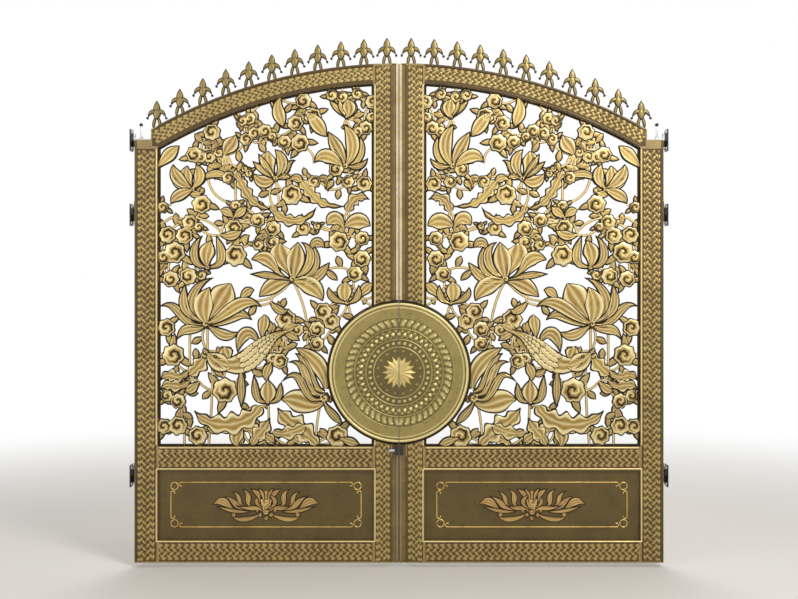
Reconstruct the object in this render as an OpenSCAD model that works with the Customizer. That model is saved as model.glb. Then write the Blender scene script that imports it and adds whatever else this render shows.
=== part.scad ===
// Double-leaf cast aluminium gate: arched leaves with an openwork lotus panel above, a solid kick panel
// below, a drum boss split on the meeting line and a row of finials. The front faces -Y, the leaves swing
// inward to +Y, X = 0 is the meeting line and Z = 0 is the underside of the leaves.

/* [Gate] */
// Width over both leaves
gate_w = 3600; // [3500:10:3700]
// Height of the arch's crown above the underside of the leaves
crown_h = 3400; // [3330:10:3480]
// Radius of the arch, along the top of the rail
arch_r = 3400; // [3200:20:3700]
// Depth of the frame, front to back
leaf_d = 60; // [54:1:60]
// Gap between the two leaves
meeting_gap = 8; // [7:0.5:9]

/* [Frame] */
// Width of the hinge stile
hinge_stile_w = 158; // [150:1:170]
// How far the top rail's end stands back from the leaf's outer edge
rail_setback = 112; // [100:1:125]
// Height of the hinge stile's shoulder above the seat of the top rail
shoulder_rise = 54; // [40:1:70]
// Width of the meeting stile with its groove
meeting_stile_w = 152; // [145:1:165]
// Width of the plain groove beside the meeting strip
groove_w = 26; // [20:1:30]
// Depth of that groove
groove_d = 12; // [6:1:14]
// Width of the meeting strip
strip_w = 16; // [12:1:20]
// Width of the top rail
top_rail_w = 132; // [120:1:145]
// Height of the mid rail's underside
mid_rail_z = 630; // [600:5:660]
// Width of the mid rail
mid_rail_w = 161; // [140:1:175]
// Width of the bottom rail
bottom_rail_w = 153; // [140:1:170]
// Wall of the hollow castings
wall_t = 7; // [5:0.5:9]
// Width of the bead along each edge of a frame member
bead_w = 9; // [6:0.5:12]
// How deep the braid field lies below the beads
field_sunk = 3; // [1:0.5:5]

/* [Lotus panel] */
// Thickness of the openwork
web_t = 22; // [16:1:26]
// Thickness over the raised petals
relief_t = 34; // [28:1:44]
// Width of the panel's own rim
rim_w = 16; // [12:1:22]
// Half the width of the narrowest gap left open in the casting
web_fill = 4; // [2:0.5:5]
// Width of the stems
stem_w = 20; // [16:1:26]
// Width of the panel's seat behind the drum's edge
seat_w = 34; // [24:1:44]

/* [Kick panel] */
// Thickness of the kick panel
kick_t = 12; // [8:1:16]
// Height of its raised lines above the plate, on both faces
line_h = 5; // [3:0.5:7]
// Width of the raised lines
line_w = 10; // [8:1:14]
// Distance from the panel's edge to the line frame
line_inset = 86; // [70:1:100]
// Radius of the rings in the line frame's corners
corner_ring_r = 26; // [20:1:32]

/* [Drum] */
// Radius of the drum boss
drum_r = 475; // [440:5:490]
// Height of its centre
drum_z = 1296; // [1280:2:1320]
// Thickness of the drum plate
drum_t = 28; // [22:1:32]
// Rise of the rim, the rings and the star above the plate
drum_rise = 8; // [5:0.5:11]
// Number of rays of the star
star_rays = 16; // [12:2:20]
// Radius of the star over its rays
star_r = 99; // [85:1:115]

/* [Finials] */
// Number of finials on a leaf
finial_count = 11; // [11:1:11]
// Distance of the first finial from the meeting line
finial_first = 83; // [78:1:88]
// Distance of the last finial from the end of the top rail
finial_last = 35; // [30:1:60]
// Height of a finial
finial_h = 178; // [160:2:200]
// Thickness of a finial
finial_t = 24; // [18:1:32]
// Growth of its outline where its pieces run together
finial_fillet = 1; // [0.5:0.5:2]

/* [Hinges] */
// Radius of the hinge knuckles
knuckle_r = 13; // [12:0.25:13.5]
// Height of one knuckle
knuckle_h = 45; // [40:1:55]
// Radius of the hinge pins
pin_r = 8; // [6:0.25:9]
// Radial running clearance of pins and rods
run_clear = 0.05; // [0.03:0.01:0.08]
// Distance of the hinge axis outside the leaf's edge
hinge_out = 14; // [14:0.25:17]
// Distance of the upper hinge below the top one
upper_hinge_drop = 510; // [440:5:580]
// Height of the lower hinge's parting face
lower_hinge_z = 586; // [560:2:610]
// Thickness of the hinge flaps and straps
flap_t = 6; // [5:0.5:8]
// Thickness of the wall plates
plate_t = 8; // [6:0.5:12]
// Width of the wall plates
plate_w = 90; // [84:1:110]
// Height of the wall plates
plate_h = 150; // [140:1:180]
// Radius of the anchor holes
anchor_r = 5.5; // [4.5:0.25:6.5]
// Distance between anchor holes across the plate
anchor_y = 56; // [50:1:62]
// Distance between anchor holes up the plate
anchor_z = 110; // [100:1:118]

/* [Bolts] */
// Radius of the drop bolt's rod
rod_r = 8; // [6:0.25:9]
// Length of the rod
rod_l = 440; // [420:5:480]
// Height of the rod's tip when raised
rod_tip_z = 5; // [2:1:15]
// Width of the drop bolt's plate
bolt_plate_w = 50; // [44:1:60]
// Height of one rod guide
guide_h = 30; // [24:1:36]
// Length of the drop bolt's handle
handle_l = 26; // [18:1:26]
// Distance of the latch's centre below the drum's edge
latch_drop = 55; // [45:1:80]
// Height of the latch case
latch_h = 62; // [50:1:66]
// Width of the latch case on its leaf
latch_w = 24; // [20:1:30]
// Depth of the latch case
latch_d = 22; // [20:1:26]
// Sliding clearance of the latch bolt in its case
slide_clear = 0.3; // [0.2:0.05:0.4]
// Travel of the latch bolt
latch_travel = 20; // [16:1:22]

/* [Hidden] */
left = -1;
right = 1;
SIDES = [left, right];
side_names = ["left", "right"];

// Frame lines on one leaf, measured outward from the meeting line
edge_u = gate_w / 2;
strip_u = meeting_gap / 2;
stile_u = strip_u + strip_w;
open_u0 = stile_u + meeting_stile_w;
open_u1 = edge_u - hinge_stile_w;
rail_end_u = edge_u - rail_setback;
open_w = open_u1 - open_u0;
open_z0 = mid_rail_z + mid_rail_w;
arch_z = crown_h - arch_r;
under_r = arch_r - top_rail_w;
seat_z = arch_z + sqrt(under_r * under_r - open_u1 * open_u1);
shoulder_z = seat_z + shoulder_rise;
upper_hinge_z = shoulder_z - upper_hinge_drop;
finial_pitch = (rail_end_u - finial_last - finial_first) / (finial_count - 1);
front_y = -leaf_d / 2;
back_y = leaf_d / 2;
field_y = back_y - field_sunk;
over = 1;
fine = 360;
panel_fine = 180;
seat_fine = 60;
// Steps along one edge of a petal, of a stem or a rosette's leaf, of the spray's petals and of a spear head
petal_fine = 4;
leaf_fine = 3;
spray_fine = 6;
head_fine = 8;
// Small gap left where two faces part
part_gap = 0.5;

// Hinge line and wall plates
axis_u = edge_u + hinge_out;
axis_y = back_y;
plate_u = axis_u + hinge_out + over;

// Drop bolt on the back of the meeting stile
bolt_u = stile_u + groove_w + (meeting_stile_w - groove_w) / 2;
bolt_plate_y = field_y + plate_t;
rod_y = bolt_plate_y + rod_r + plate_t / 2;
guide_z = [rod_l / 4, rod_l * 7 / 8];
handle_z = rod_l * 5 / 8;
handle_part = 0.7;
handle_r = rod_r * handle_part;
bolt_plate_z = rod_l / 5;
bolt_plate_h = rod_l * 4 / 5;

// Latch under the drum, and the section of its bolt
latch_z = drum_z - drum_r - latch_drop;
latch_bolt_y = latch_d / 2;
latch_bolt_h = latch_h / 4;
latch_knob_r = 7;
latch_bolt_l = latch_w + latch_travel + 3 * latch_knob_r;

// The lotus field is drawn on an opening of this size under an arch of this radius, and it stretches with
// the real one
field_u0 = 172;
field_w = 1470;
field_z0 = 791;
field_r = 3268;

bronze = "#8a6e3c";
gold = "#c9a24b";
pale_gold = "#d8c08a";
dark_iron = "#2b2723";
zinc = "#b9bdbf";

// Lotus flowers: place of the heart, petal length, lean toward the hinge side
LOTUSES = [
    [1300, 1620, 340, 0], [710, 1930, 320, 5], [840, 2620, 215, 0], [345, 2715, 230, 0],
    [1390, 2525, 205, 10], [520, 1140, 310, 62], [340, 2300, 150, 0]
];

// Buds: place of the foot, length, lean toward the hinge side
BUDS = [
    [350, 3020, 160, 0], [895, 1080, 170, 0], [1300, 2000, 220, 0], [355, 1760, 170, 5],
    [790, 2960, 150, 0], [1170, 2800, 170, -30], [960, 1600, 150, 0], [690, 1350, 150, 20]
];

// Scroll rosettes with three leaves each: centre, radius, turn
ROSETTES = [
    [1590, 2210, 50, 20], [1460, 2220, 50, 60], [1600, 2070, 45, 0], [1560, 1930, 50, 30],
    [1590, 1570, 55, 50], [1110, 2090, 65, 30], [1550, 1420, 65, 10], [1520, 1090, 50, 45],
    [1600, 900, 55, 70], [1380, 880, 55, 20], [1190, 1180, 65, 0], [1110, 860, 50, 30], [420, 860, 65, 50],
    [850, 1360, 50, 80], [560, 1500, 55, 30],
    [420, 2180, 60, 0], [250, 2080, 50, 40], [280, 1960, 45, 80], [810, 1700, 60, 40], [520, 1730, 55, 10],
    [870, 2240, 55, 0], [640, 2280, 55, 50], [510, 2080, 45, 20], [720, 2480, 55, 30], [560, 2590, 50, 10],
    [300, 2560, 55, 60], [600, 3010, 60, 20], [700, 2850, 50, 70], [230, 3120, 50, 30], [250, 2930, 45, 0],
    [980, 2920, 55, 40], [1280, 2900, 50, 10], [1400, 2780, 50, 50], [1350, 2410, 50, 0],
    [1200, 2590, 50, 20],
    [1120, 2380, 55, 60], [1560, 2640, 55, 10], [970, 2760, 50, 80], [980, 2290, 50, 45], [240, 2420, 50, 15]
];

// Loose leaves: foot, direction from upright toward the hinge side, length, width, bulge
LEAVES = [
    [1120, 2640, -135, 340, 60, -50], [900, 2440, -90, 320, 65, -95], [650, 2600, -120, 290, 85, -95],
    [410, 2460, -100, 230, 60, -30], [1420, 1030, -95, 290, 80, -45], [1190, 980, -70, 270, 90, 0],
    [1060, 990, -130, 280, 80, 20], [900, 940, -35, 150, 70, -15], [830, 930, -118, 260, 80, 40],
    [1040, 800, -55, 190, 70, -10], [1630, 2750, -55, 210, 60, 0], [1640, 1250, -72, 220, 60, -25],
    [1450, 1290, -45, 210, 65, -25], [1640, 1110, -62, 190, 55, -10], [1470, 1180, -70, 200, 55, -30],
    [1640, 2290, -70, 230, 50, 30], [1440, 2370, -100, 210, 50, -30], [600, 1840, -165, 130, 80, 5],
    [600, 1390, 0, 200, 55, 0], [410, 940, 30, 210, 45, -15], [530, 1960, -95, 170, 50, 5],
    [400, 1930, -50, 170, 55, -25], [1440, 1830, -5, 160, 65, 20], [1080, 1790, -60, 140, 55, 10],
    [1330, 1240, 178, 240, 55, 35], [1070, 1060, 5, 180, 60, -25], [290, 1850, -60, 150, 50, 0],
    [870, 3110, -150, 170, 65, 30], [670, 3180, -150, 160, 60, 5]
];

// Stems: foot, head, bulge
STEMS = [
    [[1300, 1620], [1300, 1380], 0], [[1420, 1560], [1430, 1280], 10], [[1470, 1150], [1465, 780], 0],
    [[1290, 1040], [1290, 780], 5], [[1040, 1350], [1040, 980], -5], [[1040, 960], [1040, 780], 0],
    [[710, 1930], [610, 1400], 40], [[895, 1100], [880, 930], -5], [[520, 1140], [560, 780], 10],
    [[1115, 2640], [1110, 2380], 5], [[840, 2620], [790, 2440], 0], [[710, 2850], [720, 2480], 40],
    [[350, 3040], [345, 2715], -10], [[1300, 2020], [1300, 1840], 10], [[600, 3010], [640, 2780], 20],
    [[340, 2300], [345, 2560], 15], [[345, 2715], [300, 2560], 10], [[1000, 1970], [1110, 2090], 0],
    [[1110, 2090], [1300, 2010], -20], [[420, 2180], [170, 2200], 25], [[355, 1770], [330, 1640], 5],
    [[1650, 2260], [1560, 2340], -10], [[1390, 2525], [1240, 2590], -30], [[960, 1760], [810, 1700], 10],
    [[960, 1620], [900, 1800], 15], [[980, 2920], [1040, 2760], 15], [[1280, 2900], [1390, 2790], 25],
    [[250, 2570], [170, 2590], 5], [[1650, 1510], [1560, 1430], 15], [[1650, 2040], [1560, 1930], 10],
    [[640, 2280], [560, 2090], -25], [[870, 2240], [960, 2100], 0], [[870, 2240], [880, 2420], 10],
    [[980, 2920], [1040, 3090], 5], [[800, 2960], [690, 2860], 10], [[800, 3090], [830, 3160], 0],
    [[230, 3120], [160, 3150], 0], [[250, 2930], [160, 2950], 0], [[1400, 2780], [1500, 2860], 0],
    [[1180, 2380], [1350, 2410], 20], [[1650, 2600], [1560, 2640], 5], [[640, 2280], [870, 2240], 25],
    [[720, 2480], [640, 2280], 15], [[960, 1620], [920, 1480], 5], [[1590, 1570], [1380, 1600], 10],
    [[1190, 1180], [1190, 1340], 0], [[1190, 1180], [1330, 1200], 5], [[850, 1360], [890, 1240], 0],
    [[690, 1350], [690, 1230], 0], [[560, 1500], [610, 1420], 0], [[560, 1500], [690, 1400], -20],
    [[520, 1730], [330, 1640], 10], [[600, 3010], [460, 3080], 15], [[460, 3080], [350, 3040], 10],
    [[420, 860], [410, 780], 0], [[600, 3010], [650, 3180], 5], [[980, 2760], [900, 2650], 5],
    [[1280, 2900], [1270, 3010], 0], [[1170, 2800], [1280, 2900], 20], [[1170, 2810], [970, 2760], 20],
    [[1120, 2380], [980, 2290], 10], [[980, 2290], [870, 2240], 5], [[1200, 2590], [1130, 2640], 0],
    [[280, 1960], [250, 2080], 5], [[250, 2080], [160, 2080], 0], [[510, 2080], [420, 2180], 5],
    [[240, 2420], [160, 2430], 0], [[240, 2420], [340, 2300], 10], [[1440, 1840], [1560, 1930], 10]
];

// Height of the arch at a distance from the meeting line
function arch_at(u) = arch_z + sqrt(arch_r * arch_r - u * u);

// Finial places and the flat seats between them: the top of the arch is a chord under each finial
function finial_u(i) = finial_first + i * finial_pitch;
function seat_u(i) = finial_first + (i - 0.5) * finial_pitch;
function seat_slope(i) = (arch_at(seat_u(i + 1)) - arch_at(seat_u(i))) / finial_pitch;
function finial_z(i) = (arch_at(seat_u(i + 1)) + arch_at(seat_u(i))) / 2;
function arch_line() = [for (i = [0:finial_count]) [seat_u(i), arch_at(seat_u(i))]];

// Where a place on the drawn lotus field lies in the real opening: across it in proportion to the width, and
// up it in proportion to the height of the arch there
function place(p) = let (u = open_u0 + (p[0] - field_u0) * open_w / field_w)
    [u, open_z0 + (p[1] - field_z0) * (arch_z + sqrt(under_r * under_r - u * u) - open_z0)
        / (sqrt(field_r * field_r - p[0] * p[0]) - field_z0)];

// The same for an outline drawn about a foot
function placed(foot, outline) = [for (p = outline) place([foot[0], foot[1]] + p)];

// 1 where a point of the panel lies inside its rim and clear of the drum, otherwise 0
function is_clear(p) = p.x > open_u0 + rim_w && p.x < open_u1 - rim_w && p.y > open_z0 + rim_w
    && norm(p - [0, arch_z]) < under_r - rim_w && norm(p - [0, drum_z]) > drum_r ? 1 : 0;

// A point on a bowed centre line, its direction there, and the unit normal of a direction
function bow(lean, length, bulge, s) =
    length * s * [sin(lean), cos(lean)] + 4 * bulge * s * (1 - s) * [cos(lean), -sin(lean)];
function bow_way(lean, length, bulge, s) =
    length * [sin(lean), cos(lean)] + 4 * bulge * (1 - 2 * s) * [cos(lean), -sin(lean)];
function side_of(way) = [-way.y, way.x] / norm(way);

// Half the width of a petal along its length: narrow at the foot, widest at mid length, pointed at the tip
function petal_half(s) = sin(180 * pow(0.12 + 0.88 * s, 1.25)) / 2;

// Outline of a petal or leaf that starts at the origin
function blade(lean, length, width, bulge, n) = concat(
    [for (i = [0:n]) let (s = i / n) bow(lean, length, bulge, s)
        + width * petal_half(s) * side_of(bow_way(lean, length, bulge, s))],
    [for (i = [n - 1:-1:0]) let (s = i / n) bow(lean, length, bulge, s)
        - width * petal_half(s) * side_of(bow_way(lean, length, bulge, s))]
);

// Draws one leaf's pieces: the left leaf is the mirror image of the right one
module leaf_side(side) {
    mirror([side == left ? 1 : 0, 0, 0])
        children();
}

// Turns a flat shape in X and Z into a plate centred on Y = 0
module upright(thick) {
    rotate([90, 0, 0])
        linear_extrude(height = thick, center = true)
            children();
}

// A block from one corner to the other
module block(from, to) {
    translate(from)
        cube(to - from);
}

// The two shallow fields of a straight member, between its beads
module sunk_field(w, h) {
    block([bead_w, front_y - over, bead_w], [w - bead_w, front_y + field_sunk, h - bead_w]);
    block([bead_w, back_y - field_sunk, bead_w], [w - bead_w, back_y + over, h - bead_w]);
}

// A straight hollow rail between the stiles, open at both ends, with a sunk field on both faces
module rail(z, w) {
    translate([open_u0, 0, z + w])
        rotate([0, 90, 0])
            difference() {
                block([0, front_y, 0], [w, back_y, open_w]);
                block([wall_t, front_y + wall_t + field_sunk, -over],
                    [w - wall_t, back_y - wall_t - field_sunk, open_w + over]);
                sunk_field(w, open_w);
            }
}

module hinge_stile(side) {
    color(bronze)
        leaf_side(side)
            difference() {
                translate([open_u1, 0, 0])
                    difference() {
                        block([0, front_y, 0], [hinge_stile_w, back_y, shoulder_z]);
                        block([wall_t, front_y + wall_t + field_sunk, -over],
                            [hinge_stile_w - wall_t, back_y - wall_t - field_sunk, seat_z - wall_t]);
                        sunk_field(hinge_stile_w, seat_z);
                    }
                block([open_u1 - over, front_y - over, seat_z], [rail_end_u, back_y + over, crown_h]);
            }
}

// Everything under the arch between two distances from the meeting line
module under_arch(u0, u1) {
    intersection() {
        translate([u0, 0])
            square([u1 - u0, crown_h]);
        polygon(concat([[seat_u(finial_count), 0], [0, 0], [0, arch_at(seat_u(0))]], arch_line()));
    }
}

module meeting_stile(side) {
    color(bronze)
        leaf_side(side)
            difference() {
                upright(leaf_d)
                    under_arch(stile_u, open_u0);
                block([stile_u - over, front_y - over, -over],
                    [stile_u + groove_w, front_y + groove_d, crown_h - wall_t]);
                block([stile_u - over, back_y - groove_d, -over],
                    [stile_u + groove_w, back_y + over, crown_h - wall_t]);
                block([stile_u + wall_t, front_y + wall_t + groove_d, -over],
                    [open_u0 - wall_t, back_y - wall_t - groove_d, crown_h - top_rail_w]);
                translate([stile_u + groove_w, 0, 0])
                    sunk_field(meeting_stile_w - groove_w, crown_h - bead_w);
            }
}

module meeting_strip(side) {
    color(pale_gold)
        leaf_side(side)
            upright(leaf_d)
                under_arch(strip_u, stile_u);
}

// The top rail's band, drawn in by a margin from its curved edges and its outer end
module rail_band(margin, u0) {
    difference() {
        intersection() {
            under_arch(u0, rail_end_u - margin);
            translate([0, arch_z])
                circle(r = arch_r - margin - (margin > 0 ? over : -over), $fn = fine);
        }
        translate([0, arch_z])
            circle(r = under_r + margin, $fn = fine);
        translate([open_u1 - margin, 0])
            square([hinge_stile_w, seat_z + margin]);
    }
}

module top_rail(side) {
    color(bronze)
        leaf_side(side)
            difference() {
                upright(leaf_d)
                    rail_band(0, open_u0);
                upright(leaf_d - 2 * wall_t - 2 * field_sunk)
                    rail_band(wall_t, open_u0 - over);
                for (y = [front_y, back_y])
                    translate([0, y, 0])
                        upright(2 * field_sunk)
                            rail_band(bead_w, open_u0 + bead_w);
            }
}

module mid_rail(side) {
    color(bronze)
        leaf_side(side)
            rail(mid_rail_z, mid_rail_w);
}

module bottom_rail(side) {
    color(bronze)
        leaf_side(side)
            rail(0, bottom_rail_w);
}

// The opening that the lotus panel fills, drawn in by a margin
module opening(margin) {
    intersection() {
        translate([open_u0 + margin, open_z0 + margin])
            square([open_w - 2 * margin, crown_h]);
        translate([0, arch_z])
            circle(r = under_r - margin - part_gap, $fn = panel_fine);
    }
}

// Petals of a lotus, from the outermost in: lean steps, lengths and bulges as parts of the flower's size
petal_order = [-4, 4, -3, 3, -2, 2, -1, 1, 0];
petal_step = 26;
petal_length = [0.74, 0.95, 1.02, 0.95, 0.8];
petal_width = [0.34, 0.3, 0.26, 0.24, 0.25];
petal_bulge = [0, 0.13, 0.05, -0.08, -0.1];
heart_part = 0.12;
bud_lean = 14;
bud_width = 0.52;
bud_side_width = 0.26;
bud_side_bulge = 0.2;
rib_from = 0.42;
rib_to = 0.92;
rib_part = 0.3;

module lotus_petal(flower, k) {
    row = abs(k);
    polygon(placed(flower, blade(flower[3] + k * petal_step, flower[2] * petal_length[row],
        flower[2] * petal_width[row], flower[2] * petal_bulge[row] * sign(k), petal_fine)));
}

module lotus(flower) {
    for (k = petal_order)
        lotus_petal(flower, k);
    translate(place(flower))
        circle(r = flower[2] * heart_part, $fn = 10);
}

// Outline of a petal's raised rib: a slim leaf along the outer part of the petal's own centre line
function rib(lean, length, width, bulge) = concat(
    [for (i = [0:3]) let (s = rib_from + (rib_to - rib_from) * i / 3) bow(lean, length, bulge, s)
        + width * rib_part * sin(60 * i) * side_of(bow_way(lean, length, bulge, s))],
    [for (i = [2:-1:1]) let (s = rib_from + (rib_to - rib_from) * i / 3) bow(lean, length, bulge, s)
        - width * rib_part * sin(60 * i) * side_of(bow_way(lean, length, bulge, s))]
);

// The raised rib of one petal, left out where the rim or the drum would cut it
module petal_rib(foot, lean, length, width, bulge) {
    outline = placed(foot, rib(lean, length, width, bulge));
    if (min([for (p = outline) is_clear(p)]) == 1)
        upright(relief_t)
            polygon(outline);
}

module lotus_ribs(flower) {
    for (k = petal_order)
        let (row = abs(k))
            petal_rib(flower, flower[3] + k * petal_step, flower[2] * petal_length[row],
                flower[2] * petal_width[row], flower[2] * petal_bulge[row] * sign(k));
}

module bud(b) {
    for (k = [-1, 1, 0])
        polygon(placed(b, blade(b[3] + bud_lean * k, b[2], b[2] * (k == 0 ? bud_width : bud_side_width),
            b[2] * bud_side_bulge * k, petal_fine)));
}

// A rosette: five low lobes around its centre, and three bowed leaves sized as parts of its radius
rosette_lobes = 5;
rosette_wave = 0.1;
rosette_leaves = 3;
rosette_leaf_length = 2;
rosette_leaf_width = 0.8;
rosette_leaf_bulge = 0.3;

module rosette(r) {
    polygon(placed(r, [for (i = [0:2 * rosette_lobes - 1]) let (a = 180 * i / rosette_lobes)
        r[2] * (1 - rosette_wave + rosette_wave * cos(rosette_lobes * a)) * [cos(a), sin(a)]]));
    for (i = [0:rosette_leaves - 1])
        polygon(placed(r, blade(r[3] + i * 360 / rosette_leaves, r[2] * rosette_leaf_length,
            r[2] * rosette_leaf_width, r[2] * rosette_leaf_bulge, leaf_fine)));
}

module loose_leaf(l) {
    polygon(placed(l, blade(l[2], l[3], l[4], l[5], petal_fine)));
}

module stem(s) {
    way = s[1] - s[0];
    lean = atan2(way.x, way.y);
    polygon(placed(s[0], concat(
        [for (i = [0:leaf_fine]) bow(lean, norm(way), s[2], i / leaf_fine)
            + stem_w / 2 * side_of(bow_way(lean, norm(way), s[2], i / leaf_fine))],
        [for (i = [leaf_fine:-1:0]) bow(lean, norm(way), s[2], i / leaf_fine)
            - stem_w / 2 * side_of(bow_way(lean, norm(way), s[2], i / leaf_fine))])));
}

// The carp under the large lotus: body, tail fan and fins, as leaves on one bowed spine
CARP_BODY = [880, 1500, 98, 440, 150, 130];
CARP_FINS = [
    [900, 1490, -62, 160, 70, 20], [900, 1490, -25, 140, 65, 0], [900, 1490, 20, 140, 65, 10],
    [1060, 1400, -20, 190, 80, 35], [1160, 1340, 15, 130, 85, 25]
];

module carp() {
    for (f = CARP_FINS)
        loose_leaf(f);
    loose_leaf(CARP_BODY);
}

// Outline of all the openwork
module openwork() {
    for (s = STEMS)
        stem(s);
    for (r = ROSETTES)
        rosette(r);
    for (l = LEAVES)
        loose_leaf(l);
    for (f = LOTUSES)
        lotus(f);
    for (b = BUDS)
        bud(b);
    carp();
}

// Raised ribs of the flowers, the buds and the carp
module openwork_ribs() {
    for (f = LOTUSES)
        lotus_ribs(f);
    for (b = BUDS)
        petal_rib(b, b[3], b[2], b[2] * bud_width, 0);
    petal_rib(CARP_BODY, CARP_BODY[2], CARP_BODY[3], CARP_BODY[4], CARP_BODY[5]);
}

module drum_circle(r) {
    translate([0, drum_z])
        circle(r = r, $fn = seat_fine);
}

// Outline of the panel: rim, openwork and the ring that seats the drum, with narrow gaps filled as cast webs
module panel_outline() {
    offset(delta = -web_fill)
        offset(delta = web_fill)
            intersection() {
                opening(0);
                union() {
                    difference() {
                        openwork();
                        drum_circle(drum_r - seat_w);
                    }
                    difference() {
                        opening(0);
                        opening(rim_w);
                    }
                    difference() {
                        drum_circle(drum_r);
                        drum_circle(drum_r - seat_w);
                    }
                }
            }
}

module lotus_panel(side) {
    color(gold)
        leaf_side(side) {
            upright(web_t)
                panel_outline();
            openwork_ribs();
        }
}

// Growth of the kick panel's ornament where its pieces run together
ornament_join = 0.01;

// The kick panel's line frame: a rectangle stepped in around a ring at each corner
module line_frame(w, h) {
    step = 2 * corner_ring_r + line_w;
    difference() {
        stepped(w, h, step);
        offset(delta = -line_w)
            stepped(w, h, step);
    }
    for (x = [-1, 1], z = [-1, 1])
        translate([x * (w / 2 - corner_ring_r), z * (h / 2 - corner_ring_r)])
            difference() {
                circle(r = corner_ring_r, $fn = 24);
                circle(r = corner_ring_r - line_w, $fn = 24);
            }
}

module stepped(w, h, step) {
    difference() {
        square([w, h], center = true);
        for (x = [-1, 1], z = [-1, 1])
            translate([x * w / 2, z * h / 2])
                square(2 * step, center = true);
    }
    for (x = [-1, 1], z = [-1, 1]) {
        translate([x * (w / 2 - step / 2 - corner_ring_r), z * (h / 2 - step)])
            square([2 * corner_ring_r, line_w * 2], center = true);
    }
}

// The lotus spray on the kick panel: leaning petals on both sides of an upright one
SPRAY_LEAN = [0, 24, 44, 62, 76, 90];
SPRAY_LENGTH = [150, 170, 240, 310, 360, 380];
spray_heart_w = 80;
spray_petal_w = 46;
spray_bend = 0.12;

// The leaves under the spray: lean, length and bulge
SPRAY_LEAVES = [[110, 200, 20], [140, 120, 20]];

module spray() {
    for (i = [0:len(SPRAY_LEAN) - 1], s = i == 0 ? [1] : [-1, 1])
        polygon(blade(s * SPRAY_LEAN[i], SPRAY_LENGTH[i], i == 0 ? spray_heart_w : spray_petal_w,
            -s * SPRAY_LENGTH[i] * spray_bend, spray_fine));
    for (s = [-1, 1], l = SPRAY_LEAVES)
        polygon(blade(s * l[0], l[1], spray_petal_w, s * l[2], spray_fine));
}

module kick_panel(side) {
    panel_h = mid_rail_z - bottom_rail_w;
    color(bronze)
        leaf_side(side) {
            upright(kick_t)
                translate([open_u0, bottom_rail_w])
                    square([open_w, panel_h]);
            upright(kick_t + 2 * line_h)
                translate([open_u0 + open_w / 2, bottom_rail_w + panel_h / 2])
                    offset(delta = ornament_join)
                        line_frame(open_w - 2 * line_inset, panel_h - 2 * line_inset);
            upright(kick_t + 4 * line_h)
                translate([open_u0 + open_w / 2, bottom_rail_w + panel_h / 2 - 2 * line_inset / 3])
                    offset(delta = ornament_join)
                        spray();
        }
}

// A ring standing on the drum plate, or a disc where the inner radius is zero
module drum_ring(r_out, r_in, rise) {
    difference() {
        cylinder(r = r_out, h = drum_t + rise, $fn = fine);
        if (r_in > 0)
            translate([0, 0, -over])
                cylinder(r = r_in, h = drum_t + rise + 2 * over, $fn = fine);
    }
}

// The star in the middle of the drum, cut in between its rays
star_notch = 0.58;

module drum_star() {
    linear_extrude(height = drum_t + drum_rise)
        polygon([for (i = [0:2 * star_rays - 1]) let (a = 180 * i / star_rays)
            (i % 2 == 0 ? star_r : star_r * star_notch) * [cos(a), sin(a)]]);
}

// Outer radii of the drum's raised rings as parts of its own radius
RING_AT = [1, 0.75, 0.57, 0.36];
boss_part = 1 / 3;
boss_rise = plate_w / 2 - drum_t;

module half_drum(side) {
    color(gold)
        leaf_side(side)
            difference() {
                translate([0, front_y, drum_z])
                    rotate([90, 0, 0]) {
                        cylinder(r = drum_r, h = drum_t, $fn = fine);
                        for (f = RING_AT)
                            drum_ring(f * drum_r, f * drum_r - 2 * line_w,
                                f == 1 ? drum_rise : drum_rise / 2);
                        drum_star();
                        drum_ring(star_r * boss_part, 0, boss_rise);
                    }
                block([-2 * drum_r, -crown_h, 0], [strip_u, crown_h, crown_h]);
            }
}

// A finial drawn upright from its seat: spear head, collar, two drooping arms and two spread legs.
// All measures are parts of its height. It is drawn for one pitch, and its breadth follows the real one.
drawn_pitch = 157;
head_foot = 0.48;
head_width = 0.32;
collar_width = 0.2;
collar_height = 0.08;
arm_foot = 0.45;
arm_lean = 107;
arm_length = 0.38;
arm_width = 0.13;
arm_rise = 0.08;
knob_at = [0.35, 0.35];
knob_part = 0.055;
leg_top = 0.5;
leg_shoulder = [0.08, 0.44];
leg_out = 0.26;
leg_in = 0.12;
leg_fork = 0.3;
leg_down = 0.2;
shaft_width = 0.1;

module finial_shape() {
    translate([0, finial_h * head_foot]) {
        polygon(blade(0, finial_h * (1 - head_foot), finial_h * head_width, 0, head_fine));
        square(finial_h * [collar_width, collar_height], center = true);
    }
    for (s = [-1, 1]) {
        translate([0, finial_h * arm_foot])
            polygon(blade(s * arm_lean, finial_h * arm_length, finial_h * arm_width,
                -s * finial_h * arm_rise, spray_fine));
        translate(finial_h * [s * knob_at.x, knob_at.y])
            circle(r = finial_h * knob_part, $fn = 20);
        polygon(finial_h * [[0, leg_top], [s * leg_shoulder.x, leg_shoulder.y], [s * leg_out, -leg_down],
            [s * leg_in, -leg_down], [0, leg_fork]]);
    }
    translate([-finial_h * shaft_width / 2, 0])
        square(finial_h * [shaft_width, leg_top]);
}

module finial(side, i) {
    reach = finial_h;
    color(gold)
        leaf_side(side)
            upright(finial_t)
                translate([finial_u(i), finial_z(i)])
                    difference() {
                        offset(delta = finial_fillet)
                            scale([finial_pitch / drawn_pitch, 1])
                                finial_shape();
                        polygon([[-reach, -reach * seat_slope(i)], [reach, reach * seat_slope(i)],
                            [reach, -2 * reach], [-reach, -2 * reach]]);
                    }
}

// The knuckle's web to its plate, and the flap on the leaf's edge, as parts of the knuckle and the leaf
web_part = 0.7;
flap_part = 0.8;

// A round piece along the hinge axis
module on_axis(r, z0, z1) {
    translate([axis_u, axis_y, z0])
        cylinder(r = r, h = z1 - z0, $fn = 48);
}

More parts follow.
